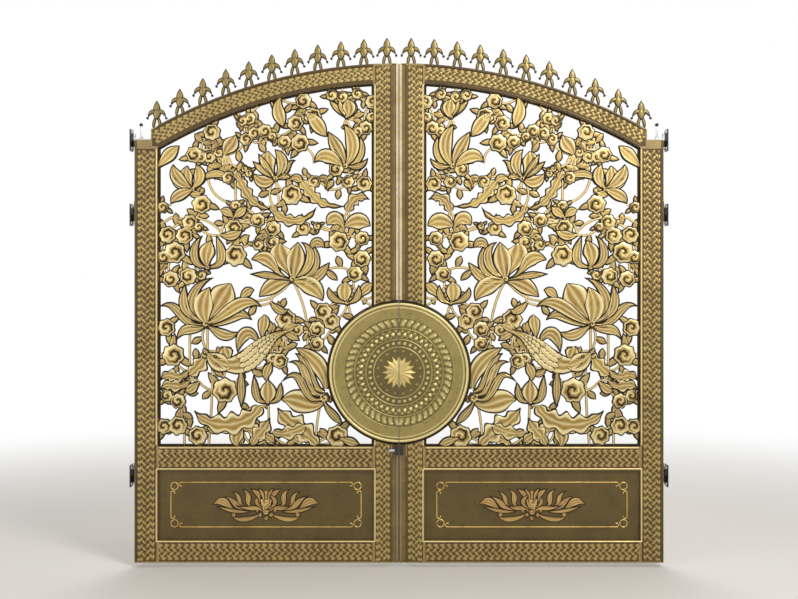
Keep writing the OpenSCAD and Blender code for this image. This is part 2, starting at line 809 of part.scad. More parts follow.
// The half of a hinge that is anchored in the building: plate, lower knuckle and pin
module wall_plate(side, z) {
    color(dark_iron)
        leaf_side(side)
            difference() {
                union() {
                    block([plate_u, axis_y - plate_w / 2, z - plate_h / 2],
                        [plate_u + plate_t, axis_y + plate_w / 2, z + plate_h / 2]);
                    block([axis_u, axis_y - knuckle_r * web_part, z - knuckle_h],
                        [plate_u + over, axis_y + knuckle_r * web_part, z - part_gap]);
                    on_axis(knuckle_r, z - knuckle_h, z - part_gap);
                    on_axis(pin_r, z - knuckle_h, z + knuckle_h);
                }
                for (y = [-1, 1], h = [-1, 1])
                    translate([plate_u - over, axis_y + y * anchor_y / 2, z + h * anchor_z / 2])
                        rotate([0, 90, 0])
                            cylinder(r = anchor_r, h = plate_t + 2 * over, $fn = 32);
            }
}

// The moving knuckle, bored to run on the pin
module moving_knuckle(z) {
    difference() {
        union() {
            on_axis(knuckle_r, z, z + knuckle_h);
            children();
        }
        on_axis(pin_r + run_clear, z - over, z + knuckle_h + over);
    }
}

module edge_flap(side, z) {
    color(dark_iron)
        leaf_side(side)
            moving_knuckle(z)
                block([edge_u, axis_y - leaf_d * flap_part, z], [edge_u + flap_t, axis_y, z + 2 * knuckle_h]);
}

module top_strap(side) {
    color(zinc)
        leaf_side(side)
            moving_knuckle(shoulder_z) {
                block([rail_end_u + over, front_y + over, shoulder_z], [edge_u, back_y, shoulder_z + flap_t]);
                block([edge_u - 2 * knuckle_r, axis_y - knuckle_r, shoulder_z],
                    [axis_u, axis_y, shoulder_z + flap_t]);
            }
}

module bolt_plate(side) {
    color(dark_iron)
        leaf_side(side)
            difference() {
                union() {
                    block([bolt_u - bolt_plate_w / 2, field_y, bolt_plate_z],
                        [bolt_u + bolt_plate_w / 2, bolt_plate_y, bolt_plate_z + bolt_plate_h]);
                    for (z = guide_z)
                        block([bolt_u - 2 * rod_r, field_y + over, z],
                            [bolt_u + 2 * rod_r, rod_y + 2 * rod_r, z + guide_h]);
                }
                translate([bolt_u, rod_y, 0])
                    cylinder(r = rod_r + run_clear, h = crown_h, $fn = 48);
            }
}

module drop_bolt(side) {
    color(zinc)
        leaf_side(side)
            translate([bolt_u, rod_y, rod_tip_z]) {
                cylinder(r = rod_r, h = rod_l, $fn = 48);
                translate([0, 0, handle_z])
                    rotate([-90, 0, 0])
                        cylinder(r = handle_r, h = handle_l, $fn = 32);
            }
}

// A guide for the latch bolt on the front of the meeting strip
module latch_guide(side) {
    color(dark_iron)
        leaf_side(side)
            difference() {
                block([strip_u + over, front_y - latch_d, latch_z - latch_h / 2],
                    [strip_u + over + latch_w, front_y, latch_z + latch_h / 2]);
                block([0, front_y - latch_d / 2 - latch_bolt_y / 2 - slide_clear,
                    latch_z - latch_bolt_h / 2 - slide_clear],
                    [edge_u, front_y - latch_d / 2 + latch_bolt_y / 2 + slide_clear,
                    latch_z + latch_bolt_h / 2 + slide_clear]);
            }
}

module latch_case() {
    latch_guide(left);
}

module latch_keeper() {
    latch_guide(right);
}

module latch_bolt() {
    nose = -strip_u - 2 * over;
    color(zinc)
        union() {
            block([nose - latch_bolt_l, front_y - latch_d / 2 - latch_bolt_y / 2, latch_z - latch_bolt_h / 2],
                [nose, front_y - latch_d / 2 + latch_bolt_y / 2, latch_z + latch_bolt_h / 2]);
            translate([nose - latch_bolt_l + latch_knob_r, front_y - latch_d / 2, latch_z])
                rotate([90, 0, 0])
                    cylinder(r = latch_knob_r, h = latch_d, $fn = 32);
        }
}

for (k = [0, 1]) {
    side = SIDES[k];
    name = side_names[k];
    hinge_stile(side);
    meeting_stile(side);
    meeting_strip(side);
    top_rail(side);
    mid_rail(side);
    bottom_rail(side);
    lotus_panel(side);
    kick_panel(side);
    half_drum(side);
    top_strap(side);
    edge_flap(side, upper_hinge_z);
    edge_flap(side, lower_hinge_z);
    bolt_plate(side);
    drop_bolt(side);
    wall_plate(side, shoulder_z);
    wall_plate(side, upper_hinge_z);
    wall_plate(side, lower_hinge_z);
    for (i = [0:finial_count - 1])
        finial(side, i);
}
latch_case();
latch_bolt();
latch_keeper();
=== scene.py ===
import bpy
import numpy as np
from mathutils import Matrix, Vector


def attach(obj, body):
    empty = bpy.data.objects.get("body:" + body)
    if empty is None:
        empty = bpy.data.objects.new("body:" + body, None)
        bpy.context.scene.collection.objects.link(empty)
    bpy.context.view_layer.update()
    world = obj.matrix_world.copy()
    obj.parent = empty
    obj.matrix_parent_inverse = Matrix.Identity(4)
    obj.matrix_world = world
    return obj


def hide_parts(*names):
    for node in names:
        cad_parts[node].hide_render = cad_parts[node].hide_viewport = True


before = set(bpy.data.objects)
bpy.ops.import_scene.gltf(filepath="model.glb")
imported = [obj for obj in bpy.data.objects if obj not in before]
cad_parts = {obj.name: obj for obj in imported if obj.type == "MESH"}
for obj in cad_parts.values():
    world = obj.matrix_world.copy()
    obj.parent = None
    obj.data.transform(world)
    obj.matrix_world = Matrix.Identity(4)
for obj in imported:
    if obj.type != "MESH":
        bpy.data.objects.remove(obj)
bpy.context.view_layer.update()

# Leaf frames. Two stiles, a mid rail, a bottom rail and a curved top rail frame each leaf. They are hollow
# aluminium castings, welded at the corners, painted dark bronze and rubbed with gold on the high parts.
SIDES = {"left": -1, "right": 1}
FRAME_CASTINGS = ("hinge_stile", "meeting_stile", "top_rail", "mid_rail", "bottom_rail")
FIELD_LEVEL = 0.027


def paint(code):
    """Linear colour of a paint code: each channel c of the code becomes ((c + 0.055) / 1.055) ** 2.4."""
    c = np.array([int(code[i:i + 2], 16) for i in (0, 2, 4)]) / 255
    return (*(((c + 0.055) / 1.055) ** 2.4), 1.0)


def feed(tree, socket, value):
    """Joins a socket to another node's output, or sets it to a value."""
    if isinstance(value, bpy.types.NodeSocket):
        tree.links.new(value, socket)
    else:
        socket.default_value = value


def add_node(tree, kind, inputs, **settings):
    """Adds a node with its settings and its inputs."""
    node = tree.nodes.new(kind)
    for key, value in settings.items():
        setattr(node, key, value)
    for key, value in inputs.items():
        feed(tree, node.inputs[key], value)
    return node


def calc(tree, operation, a, b=0.0, c=0.0):
    """One step of arithmetic on two or three values."""
    return add_node(tree, "ShaderNodeMath", {0: a, 1: b, 2: c}, operation=operation).outputs[0]


def blend(tree, factor, a, b):
    """Colour a where the factor is 0 and colour b where it is 1."""
    return add_node(tree, "ShaderNodeMix", {0: factor, 6: a, 7: b}, data_type="RGBA").outputs[2]


def rise(tree, value, low, high, top=1.0):
    """0 below low, top above high, and a smooth step between them."""
    inputs = {"Value": value, "From Min": low, "From Max": high, "To Max": top}
    return add_node(tree, "ShaderNodeMapRange", inputs, interpolation_type="SMOOTHSTEP").outputs[0]


def fall(tree, value, low, high, top=1.0):
    """top below low, 0 above high, and a smooth step between them."""
    return calc(tree, "SUBTRACT", top, rise(tree, value, low, high, top))


def own_place(tree):
    """The piece's own coordinates, in metres."""
    return add_node(tree, "ShaderNodeTexCoord", {}).outputs["Object"]


def noise(tree, scale, detail):
    """Cloud noise on the piece's own coordinates, scale times per metre."""
    inputs = {"Vector": own_place(tree), "Scale": scale, "Detail": detail, "Roughness": 0.6}
    return add_node(tree, "ShaderNodeTexNoise", inputs).outputs[0]


def coordinate(tree, axis):
    """One of the piece's own coordinates, in metres."""
    return add_node(tree, "ShaderNodeSeparateXYZ", {0: own_place(tree)}).outputs[axis]


def depth(tree):
    """Distance in metres from the middle plane of a leaf, towards either face."""
    return calc(tree, "ABSOLUTE", coordinate(tree, "Y"))


def mesh_values(tree, *names):
    """The values that the mesh carries under these names."""
    return [add_node(tree, "ShaderNodeAttribute", {}, attribute_name=n).outputs["Fac"] for n in names]


def rubbed_and_lit_paint():
    """Paint on a casting, rubbed by hand.

    Clouds blend Paint with Shade, spots of tarnish bring in Deep, Ridge times a grain brings in Pale, and
    Hollow covers it with Deep. Pale on a ridge is rubbed gold, and on the petals, braid, drum, kick spray and
    finials it is also a painted highlight. Deep in a hollow is patina, and along blade edges, in the frame's
    field, between the braid's strands and in the drum's relief it is also painted shade; on the drum's wall
    and the nosing it is painted shade only. Roughness grows with clouds and hollows; Height is grain and
    tarnish.
    """
    group = bpy.data.node_groups.new("rubbed paint with painted light", "ShaderNodeTree")
    for name in ("Paint", "Shade", "Deep", "Pale"):
        group.interface.new_socket(name, in_out="INPUT", socket_type="NodeSocketColor")
    for name in ("Hollow", "Ridge"):
        group.interface.new_socket(name, in_out="INPUT", socket_type="NodeSocketFloat")
    group.interface.new_socket("Color", in_out="OUTPUT", socket_type="NodeSocketColor")
    for name in ("Roughness", "Height"):
        group.interface.new_socket(name, in_out="OUTPUT", socket_type="NodeSocketFloat")
    given = add_node(group, "NodeGroupInput", {}).outputs
    clouds = noise(group, 5.0, 5.0)
    tarnish = noise(group, 34.0, 4.0)
    grain = noise(group, 240.0, 3.0)
    body = blend(group, rise(group, clouds, 0.4, 0.66, 0.75), given["Paint"], given["Shade"])
    body = blend(group, rise(group, tarnish, 0.52, 0.72, 0.4), body, given["Deep"])
    # Pale on the ridges: rubbed gold, and on some castings also a painted highlight.
    rubbed = calc(group, "MULTIPLY", given["Ridge"], calc(group, "ADD", grain, 0.35))
    body = blend(group, calc(group, "MINIMUM", rubbed, 1.0), body, given["Pale"])
    # Deep in the hollows: patina, and on some castings also painted shade.
    body = blend(group, given["Hollow"], body, given["Deep"])
    dull = calc(group, "MULTIPLY_ADD", given["Hollow"], 0.25, calc(group, "MULTIPLY_ADD", clouds, 0.2, 0.28))
    height = calc(group, "MULTIPLY_ADD", grain, 0.4, calc(group, "MULTIPLY", tarnish, 0.6))
    add_node(group, "NodeGroupOutput", {"Color": body, "Roughness": dull, "Height": height})
    return group


RUBBED_AND_LIT_PAINT = rubbed_and_lit_paint()


def new_finish(name, metallic):
    """An empty material with its tree and its surface shader."""
    material = bpy.data.materials.new(name)
    material.use_nodes = True
    surface = material.node_tree.nodes["Principled BSDF"]
    surface.inputs["Metallic"].default_value = metallic
    return material, material.node_tree, surface


def rub_and_paint_light(tree, surface, colours, hollow, ridge, relief=0.0005):
    """Puts the paint group, with its rubbed gold, patina and painted light, on a surface.

    The colours are Paint, Shade, Deep and Pale, each as a paint code or a socket. The relief is in metres.
    """
    inputs = {"Hollow": hollow, "Ridge": ridge}
    for name, colour in zip(("Paint", "Shade", "Deep", "Pale"), colours):
        inputs[name] = paint(colour) if isinstance(colour, str) else colour
    coat = add_node(tree, "ShaderNodeGroup", inputs, node_tree=RUBBED_AND_LIT_PAINT).outputs
    bump = add_node(tree, "ShaderNodeBump", {"Height": coat["Height"], "Strength": 0.5, "Distance": relief})
    feed(tree, surface.inputs["Base Color"], coat["Color"])
    feed(tree, surface.inputs["Roughness"], coat["Roughness"])
    feed(tree, surface.inputs["Normal"], bump.outputs["Normal"])


def finish_node(name, material):
    """Gives a piece of the CAD model its material."""
    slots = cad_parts[name].data.materials
    slots.clear()
    slots.append(material)


bronze, tree, surface = new_finish("bronze frame paint", 0.4)
# Dark on the sunk field, where it shows between the braid's strands: patina and painted shade.
off_field = calc(tree, "ABSOLUTE", calc(tree, "SUBTRACT", depth(tree), FIELD_LEVEL))
on_bead = rise(tree, depth(tree), 0.0285, 0.0298, 0.3)
rub_and_paint_light(tree, surface, ["85703f", "6a5530", "4a3a1e", "c3a975"],
    fall(tree, off_field, 0.0002, 0.0006, 0.85), on_bead)
for side in SIDES:
    for casting in FRAME_CASTINGS:
        finish_node(f"{side}_{casting}", bronze)

# Beads. A thin half-round bead runs along the inner edges of the frame and around the kick panel. It is cast
# with the frame and rubbed to bright gold; the roll along the outer edge and the arch is painted dark, as
# painted shade along the leaf's edges.
BEAD_W, BEAD_H, BEAD_LEVEL = 5.0, 4.5, 30.0
ROLL_W, ROLL_H, ROLL_LEVEL = 8.0, 6.0, 29.0
BEADS = [
    [(163, 144), (1651, 144)], [(163, 639), (1651, 639)], [(163, 144), (163, 639)],
    [(1651, 144), (1651, 639)], [(1651, 800), (1651, 2815)], [(163, 800), (163, 3255)],
    [(185, 782), (1630, 782)],
]
EDGE_ROLLS = [[(1791, 8), (1791, 2872)], [(54, 8), (54, 722)], [(54, 1775), (54, 3385)]]
ARCH_ROLLS, ARCH_ROLL_ENDS, ARCH_STATIONS = (3391, 3277), (175, 1640), 60


def join(*parts):
    """Coordinates joined to points, along a new last axis."""
    return np.stack(parts, axis=-1)


def sideways(path):
    """Unit vectors square to paths (..., n, 2) at each of their points, to the left of the direction."""
    way = np.gradient(path, axis=-2)
    way = way / np.linalg.norm(way, axis=-1, keepdims=True)
    return join(-way[..., 1], way[..., 0])


def carry(path, across, level):
    """A profile carried along paths in the leaf's plane.

    path is (k, n, 2) in u, the distance from the meeting line, and v, the height. Each profile point stands
    `across` to the left of the path and at `level` along Y, both (k, n, m). All are in millimetres.
    """
    spot = path[:, :, None] + across[..., None] * sideways(path)[:, :, None]
    return join(spot[..., 0], np.broadcast_to(level, across.shape), spot[..., 1])


def round_angles(count):
    """Angles evenly spaced around a full turn, from 0."""
    return np.linspace(0, 2 * np.pi, count, endpoint=False)


def rods(paths, width, height, level, around=10):
    """Rods: an ellipse of that half width and half height, its centre at `level`, carried along each path."""
    path = np.array(paths, float)
    turn = np.pi / 2 + round_angles(around)
    shape = path.shape[:2] + (around,)
    return carry(path, np.broadcast_to(width * np.cos(turn), shape), level + height * np.sin(turn))


def arch(radius, u0, u1, stations):
    """Points on a circle about the middle of the gate's foot, evenly spaced in angle from u0 to u1."""
    angle = np.linspace(np.arcsin(u0 / radius), np.arcsin(u1 / radius), stations)
    return radius * join(np.sin(angle), np.cos(angle))


def tube_faces(k, n, m):
    """Corners of closed tubes: quads along and around, and a fan at each end on a point of its own."""
    ring = np.arange(k * n * m).reshape(k, n, m)
    a, b = ring[:, :-1], ring[:, 1:]
    quads = join(a, np.roll(a, -1, 2), np.roll(b, -1, 2), b).reshape(-1, 4)
    start = np.broadcast_to((k * n * m + np.arange(k))[:, None], (k, m))
    stop = start + k
    fans = [join(np.roll(ring[:, 0], -1, 1), ring[:, 0], start),
            join(ring[:, -1], np.roll(ring[:, -1], -1, 1), stop)]
    return quads, np.concatenate(fans).reshape(-1, 3)


def with_ends(values):
    """Ring values (k, n, m, ...) as one list, followed by the mean of each first ring and each last ring."""
    flat = values.reshape((-1,) + values.shape[3:])
    return np.concatenate([flat, values[:, 0].mean(1), values[:, -1].mean(1)])


def volume(points, faces):
    """Six times the volume inside the faces: the sum of p0 . (p1 x p2) over a fan of each face."""
    total = 0.0
    for corners in faces:
        for i in range(1, corners.shape[1] - 1):
            a, b, c = points[corners[:, 0]], points[corners[:, i]], points[corners[:, i + 1]]
            total += np.einsum("ij,ij->", a, np.cross(b, c))
    return total


def put_mesh(name, shells, side, sharp):
    """One mesh of closed shells, given as (points in millimetres, [corner arrays], {attribute: values}).

    The side is -1 for the mirror image in X, and a shell whose volume comes out negative is turned round.
    """
    points, starts, corners, values, first = [], [], [], {}, 0
    for spots, faces, marks in shells:
        spots = spots * (side, 1, 1)
        if volume(spots, faces) < 0:
            faces = [f[:, ::-1] for f in faces]
        points.append(spots)
        for f in faces:
            corners.append((f + first).ravel())
            starts.append(np.full(len(f), f.shape[1]))
        for key, value in marks.items():
            values.setdefault(key, []).append(value)
        first += len(spots)
    counts = np.concatenate(starts)
    loops = np.concatenate(corners).astype(np.int32)
    mesh = bpy.data.meshes.new(name)
    mesh.vertices.add(first)
    mesh.vertices.foreach_set("co", (np.concatenate(points) * 0.001).astype(np.float32).ravel())
    mesh.loops.add(len(loops))
    mesh.loops.foreach_set("vertex_index", loops)
    mesh.polygons.add(len(counts))
    mesh.polygons.foreach_set("loop_start", (np.cumsum(counts) - counts).astype(np.int32))
    mesh.update(calc_edges=True)
    mesh.polygons.foreach_set("use_smooth", np.ones(len(counts), bool))
    mesh.set_sharp_from_angle(angle=np.radians(sharp))
    for key, value in values.items():
        mesh.attributes.new(key, "FLOAT", "POINT").data.foreach_set(
            "value", np.concatenate(value).astype(np.float32))
    return mesh


def tubes(points, **marks):
    """A shell for put_mesh from rings (k, n, m, 3) and ring values (k, n, m)."""
    k, n, m = points.shape[:3]
    spread = {key: with_ends(np.broadcast_to(value, (k, n, m))) for key, value in marks.items()}
    return with_ends(points), list(tube_faces(k, n, m)), spread


def face_rods(paths, width, height, level, around=10):
    """The same rods on the front and on the back of a leaf."""
    return [tubes(rods(paths, width, height, face * level, around)) for face in (-1, 1)]


def add_pair(name, shells, material, node=None, body=None, sharp=42):
    """Adds a piece to each leaf, or to another body, in place of the CAD node where one is named."""
    for side, way in SIDES.items():
        piece = bpy.data.objects.new(f"{side}_{name}", put_mesh(f"{side}_{name}", shells, way, sharp))
        piece.data.materials.append(material)
        bpy.context.scene.collection.objects.link(piece)
        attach(piece, body or f"{side}_leaf")
        if node:
            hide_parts(f"{side}_{node}")


bright, tree, surface = new_finish("bright bead gold", 0.5)
rub_and_paint_light(tree, surface, ["c9a862", "a5813f", "4a3515", "ead7a0"],
    0.0, rise(tree, depth(tree), 0.031, 0.0345))
# Painted shade: the edge rolls are painted dark for the shade along the leaf's edges.
edge_shade_paint, tree, surface = new_finish("dark edge painted shade", 0.35)
rub_and_paint_light(tree, surface, ["4f3d1f", "3b2c14", "22180a", "8c7344"], 0.0, 0.2)
add_pair("beads", face_rods(BEADS, BEAD_W, BEAD_H, BEAD_LEVEL), bright)
rolls = face_rods(EDGE_ROLLS, ROLL_W, ROLL_H, ROLL_LEVEL)
arches = [arch(r, *ARCH_ROLL_ENDS, ARCH_STATIONS) for r in ARCH_ROLLS]
rolls += face_rods(arches, ROLL_W, ROLL_H, ROLL_LEVEL)
add_pair("edge_rolls", rolls, edge_shade_paint)

# Braid. A flat plait of strands fills the sunk field of every stile and rail, on both faces. It is cast in
# one with the frame; low between the strands it is dark, patina and painted shade, and on top of them tan, a
# painted highlight.
STRANDS, PLAIT_PERIOD, STRAND_W, STRAND_H = 7, 310.0, 8.5, 4.0
PLAIT_LEVEL, PLAIT_WAVE, PLAIT_STEP, STRAND_CORNERS = 26.5, 3.5, 11.0, 5
STRAIGHT_PLAITS = [
    ((1721, 16), (1721, 2805), 60), ((185, 711), (1636, 711), 62), ((185, 73), (1636, 73), 58),
    ((109, 1754), (109, 3378), 50),
]
ARCH_PLAIT, ARCH_STRETCH = (3334, 180, 1668, 46), 1.12
MEETING_FOOT = {-1: ((109, 16), (109, 838), 50), 1: ((109, 465), (109, 1754), 50)}


def plait(path, swing, face):
    """A flat plait along a path: strand i swings sideways by swing sin(p).

    p is 2 pi (l / period + i / strands), with l the length along the path. Where a strand crosses the others
    it rises and dips by wave sin((strands - 1) p).
    """
    step = np.linalg.norm(np.diff(path, axis=0), axis=1)
    run = np.concatenate([[0], np.cumsum(step)])
    phase = 2 * np.pi * (run / PLAIT_PERIOD + np.arange(STRANDS)[:, None] / STRANDS)
    strands = path + swing * np.sin(phase)[..., None] * sideways(path)
    turn = np.pi / 2 + round_angles(STRAND_CORNERS)
    level = PLAIT_LEVEL + PLAIT_WAVE * np.sin((STRANDS - 1) * phase)[..., None] + STRAND_H * np.sin(turn)
    return carry(strands, np.broadcast_to(STRAND_W * np.cos(turn), level.shape), face * level)


def straight_plait(foot, head, swing, face):
    """A plait on a straight stile or rail."""
    stations = int(np.hypot(head[0] - foot[0], head[1] - foot[1]) / PLAIT_STEP)
    return tubes(plait(np.linspace(foot, head, stations), swing - STRAND_W, face))


def arch_plait(radius, u0, u1, swing, face):
    """A plait on the curved top rail, whose arc is longer than u1 - u0 by the stretch."""
    stations = int((u1 - u0) * ARCH_STRETCH / PLAIT_STEP)
    return tubes(plait(arch(radius, u0, u1, stations), swing - STRAND_W, face))


braid, tree, surface = new_finish("braid paint", 0.4)
# Dark on the strands' low sides: patina and painted shade. Tan on their tops: a painted highlight.
rub_and_paint_light(tree, surface, ["957e44", "78612d", "443416", "c3ac74"],
    fall(tree, depth(tree), 0.0262, 0.0300), rise(tree, depth(tree), 0.0300, 0.0335, 0.7))
plaits = [straight_plait(*member, face) for member in STRAIGHT_PLAITS for face in (-1, 1)]
plaits += [arch_plait(*ARCH_PLAIT, face) for face in (-1, 1)]
plaits += [straight_plait(*member, face) for face, member in MEETING_FOOT.items()]
add_pair("braid", plaits, braid)

# Meeting strips. A plain bar closes the edge of each leaf at the meeting line. It is welded on and dark gold.
# Above the drum's top it is painted pale, a painted reflection of the sky, and below it the recessed nosing
# is painted dark, as painted shade in the slot between the strips.
NOSING_U, NOSING_FOOT, NOSING_HEAD = 4.5, 2.0, 3396.0
NOSING_W, NOSING_DEPTH, NOSING_CHAMFER = 4.2, 12.0, 1.0
REFLECTION_LOW, REFLECTION_HIGH = 1.5, 1.75
strip, tree, surface = new_finish("strip paint with painted sky reflection", 0.35)
# Painted reflection: above the drum's top the strip is pale with the sky's reflection; below it, dark gold.
below_sky_reflection = fall(tree, coordinate(tree, "Z"), REFLECTION_LOW, REFLECTION_HIGH)
strip_colour = blend(tree, below_sky_reflection, paint("cdbf9b"), paint("745b2c"))
strip_shade = blend(tree, below_sky_reflection, paint("b29a68"), paint("58431f"))
rub_and_paint_light(tree, surface, [strip_colour, strip_shade, "4a3a1e", "e2d5b2"], 0.0, 0.15)
strip_edge, tree, surface = new_finish("strip edge paint", 0.0)
surface.inputs["Specular IOR Level"].default_value = 0.0
# Painted shade: below the drum's top the nosing is dark, for the shade in the slot.
below_sky_reflection = fall(tree, coordinate(tree, "Z"), REFLECTION_LOW, REFLECTION_HIGH, 0.9)
rub_and_paint_light(tree, surface, ["cdbf9b", "b29a68", "33260f", "e2d5b2"], below_sky_reflection, 0.15)


def bar(start, end, half_width, half_depth, chamfer):
    """A bar with chamfered long edges: its rectangular section carried straight from start to end."""
    w, d, c = half_width, half_depth, chamfer
    across = np.array([-w, -w, c - w, w - c, w, w, w - c, c - w])
    level = np.array([d - c, c - d, -d, -d, c - d, d - c, d, d])
    across, level = np.broadcast_to(np.stack([across, level])[:, None, None], (2, 1, 2, 8))
    return tubes(carry(np.array([[start, end]], float), across, level))


for side in SIDES:
    finish_node(f"{side}_meeting_strip", strip)
nosing_ends = (NOSING_U, NOSING_FOOT), (NOSING_U, NOSING_HEAD)
nosing = bar(*nosing_ends, NOSING_W, NOSING_DEPTH, NOSING_CHAMFER)
add_pair("strip_nosing", [nosing], strip_edge, sharp=30)

# Lotus panels. Flowers, buds, leaves and scrolls on thin stems grow from the mid rail to the arch around a
# leaping carp. The panel is one openwork casting, gold on the petals and nearly black along their edges.
# Every blade is given by the foot, two points and the tip of its spine as u and v, its width, and how far out
# it is widest where that isn't half way.
LARGE_LOTUS = [
    (1340,1622, 1450,1650, 1530,1735, 1640,1740, 58), (1325,1608, 1400,1590, 1465,1580, 1520,1508, 65),
    (1295,1605, 1230,1565, 1165,1545, 1085,1575, 70), (1335,1635, 1445,1710, 1470,1800, 1458,1908, 62),
    (1300,1632, 1180,1700, 1060,1768, 932,1735, 90), (1290,1622, 1190,1655, 1095,1690, 998,1645, 80),
    (1305,1640, 1250,1735, 1200,1815, 1145,1905, 175, 1.9), (1330,1640, 1415,1720, 1390,1850, 1258,1942, 62),
    (1315,1640, 1335,1720, 1325,1800, 1288,1880, 135, 1.1),
]
SECOND_LOTUS = [
    (740,1915, 815,1905, 890,1865, 958,1805, 105), (715,1912, 645,1905, 570,1860, 520,1775, 120),
    (750,1925, 855,1950, 930,1960, 1025,1965, 45), (735,1945, 775,2025, 808,2105, 805,2180, 150, 1.9),
    (740,1935, 832,1990, 895,2065, 1015,2060, 95, 2.4), (700,1925, 600,1925, 525,1980, 470,2048, 65),
    (705,1935, 590,1985, 568,2080, 592,2175, 55), (600,2130, 575,2175, 540,2175, 505,2140, 65),
    (712,1945, 625,2010, 605,2110, 675,2185, 60), (722,1945, 712,2030, 698,2110, 688,2188, 125, 1.1),
]
DRUM_LOTUS = [
    (500,1180, 525,1300, 600,1395, 712,1465, 110), (505,1160, 585,1230, 640,1350, 716,1425, 58),
    (510,1140, 610,1200, 655,1320, 765,1362, 58), (512,1120, 625,1150, 690,1262, 812,1218, 52),
    (510,1090, 470,1030, 425,980, 385,930, 48), (515,1088, 610,1075, 705,1105, 806,1102, 150, 1.5),
]
ARCH_LOTUSES = [
    (850,2612, 900,2592, 950,2605, 998,2655, 85), (840,2612, 800,2628, 768,2630, 733,2615, 42),
    (745,2605, 710,2620, 680,2610, 650,2585, 55), (852,2620, 905,2655, 955,2695, 1002,2738, 42),
    (850,2622, 892,2680, 930,2735, 960,2790, 42), (835,2620, 785,2655, 755,2710, 700,2742, 44),
    (840,2622, 798,2690, 805,2760, 852,2818, 72), (845,2622, 885,2685, 898,2745, 890,2808, 110, 1.6),
    (350,2702, 300,2695, 250,2712, 210,2760, 42), (390,2705, 455,2755, 520,2770, 582,2722, 95),
    (355,2705, 285,2745, 258,2825, 268,2912, 55), (375,2708, 412,2750, 445,2795, 480,2848, 45),
    (370,2712, 402,2785, 442,2860, 487,2942, 85), (360,2710, 318,2800, 325,2900, 385,2988, 92),
    (1410,2540, 1465,2520, 1520,2490, 1556,2440, 75), (1440,2522, 1405,2512, 1372,2512, 1342,2532, 48),
    (1392,2545, 1368,2585, 1340,2612, 1305,2638, 44), (1420,2546, 1475,2560, 1520,2590, 1558,2640, 48),
    (1420,2552, 1480,2590, 1525,2645, 1540,2718, 85), (1405,2550, 1365,2605, 1362,2660, 1386,2718, 75),
    (1415,2555, 1445,2605, 1452,2655, 1442,2708, 85),
]
BUDS = [
    (1305,2012, 1385,2050, 1395,2140, 1335,2232, 55), (1300,2010, 1218,2050, 1215,2135, 1250,2235, 60),
    (1305,2018, 1315,2085, 1302,2140, 1282,2200, 105), (350,1765, 430,1790, 470,1830, 478,1880, 45),
    (350,1765, 295,1795, 275,1840, 276,1895, 45), (362,1770, 372,1820, 370,1870, 365,1920, 100),
    (895,1090, 965,1120, 982,1195, 995,1280, 48), (890,1090, 828,1115, 812,1170, 802,1230, 44),
    (900,1240, 905,1285, 890,1325, 868,1372, 62), (892,1095, 892,1140, 893,1190, 895,1250, 108, 1.1),
    (362,3034, 400,3075, 440,3115, 478,3156, 40), (348,3034, 315,3070, 305,3110, 312,3155, 40),
    (360,3036, 385,3080, 400,3120, 408,3160, 36), (352,3036, 340,3080, 345,3120, 352,3165, 92),
]
LEAVES = [
    (380,2288, 420,2340, 460,2335, 492,2292, 95), (365,2290, 310,2320, 250,2322, 192,2290, 112),
    (1130,2350, 1160,2380, 1190,2395, 1222,2400, 60), (1130,2350, 1095,2375, 1065,2400, 1035,2425, 60),
    (1215,2232, 1165,2225, 1115,2235, 1062,2268, 65), (1345,2590, 1290,2642, 1210,2645, 1145,2600, 52),
    (1640,2700, 1590,2755, 1545,2800, 1495,2842, 85), (1190,2780, 1165,2825, 1135,2865, 1112,2918, 105),
    (630,3060, 580,3015, 535,2955, 488,2900, 92), (810,3165, 825,3090, 808,3025, 790,2960, 85),
    (875,3142, 855,3112, 835,3095, 805,3085, 36), (1100,795, 1112,840, 1095,885, 1058,925, 92),
    (1365,1228, 1400,1195, 1430,1175, 1464,1165, 66), (875,1772, 838,1735, 795,1712, 750,1730, 52),
    (400,845, 355,830, 310,815, 265,803, 55), (500,1990, 475,1970, 445,1945, 418,1918, 42),
    (490,2545, 475,2570, 460,2590, 442,2612, 42), (270,1810, 240,1850, 210,1880, 175,1900, 70),
    (1078,1320, 1076,1230, 1075,1140, 1074,1050, 50), (1075,1795, 1050,1830, 1020,1850, 985,1855, 60),
]
# Frilled water leaves and ribbons: the same, then how far out they are widest and the number of frills.
WAVE_LEAVES = [
    (1112,2655, 1060,2555, 985,2455, 850,2402, 66, 0.9, 5),
    (705,2625, 620,2540, 530,2455, 350,2428, 70, 0.9, 6),
    (862,2430, 790,2345, 665,2335, 560,2430, 66, 0.9, 5),
    (348,2395, 318,2460, 265,2490, 196,2470, 70, 0.9, 3),
    (950,1062, 1070,960, 1250,945, 1402,1040, 128, 1.0, 5),
    (1075,985, 1150,925, 1250,905, 1330,925, 60, 1.2, 3), (560,803, 640,880, 745,955, 832,1058, 140, 1.2, 4),
    (1062,930, 985,895, 905,860, 835,800, 92, 1.2, 4), (860,890, 775,880, 690,905, 612,945, 84, 1.2, 3),
    (1000,800, 965,865, 920,915, 880,990, 92, 1.2, 3), (760,800, 700,835, 640,845, 560,838, 62, 1.2, 3),
    (1310,1440, 1345,1365, 1395,1310, 1452,1262, 92, 1.2, 3),
    (1440,1300, 1510,1262, 1570,1275, 1634,1230, 76, 1.2, 4),
    (1430,1236, 1505,1200, 1570,1208, 1634,1165, 70, 1.2, 3),
]
CARP_BODY = (765, 1575, 938, 1465, 1085, 1352, 1300, 1415, 142, 1.5)
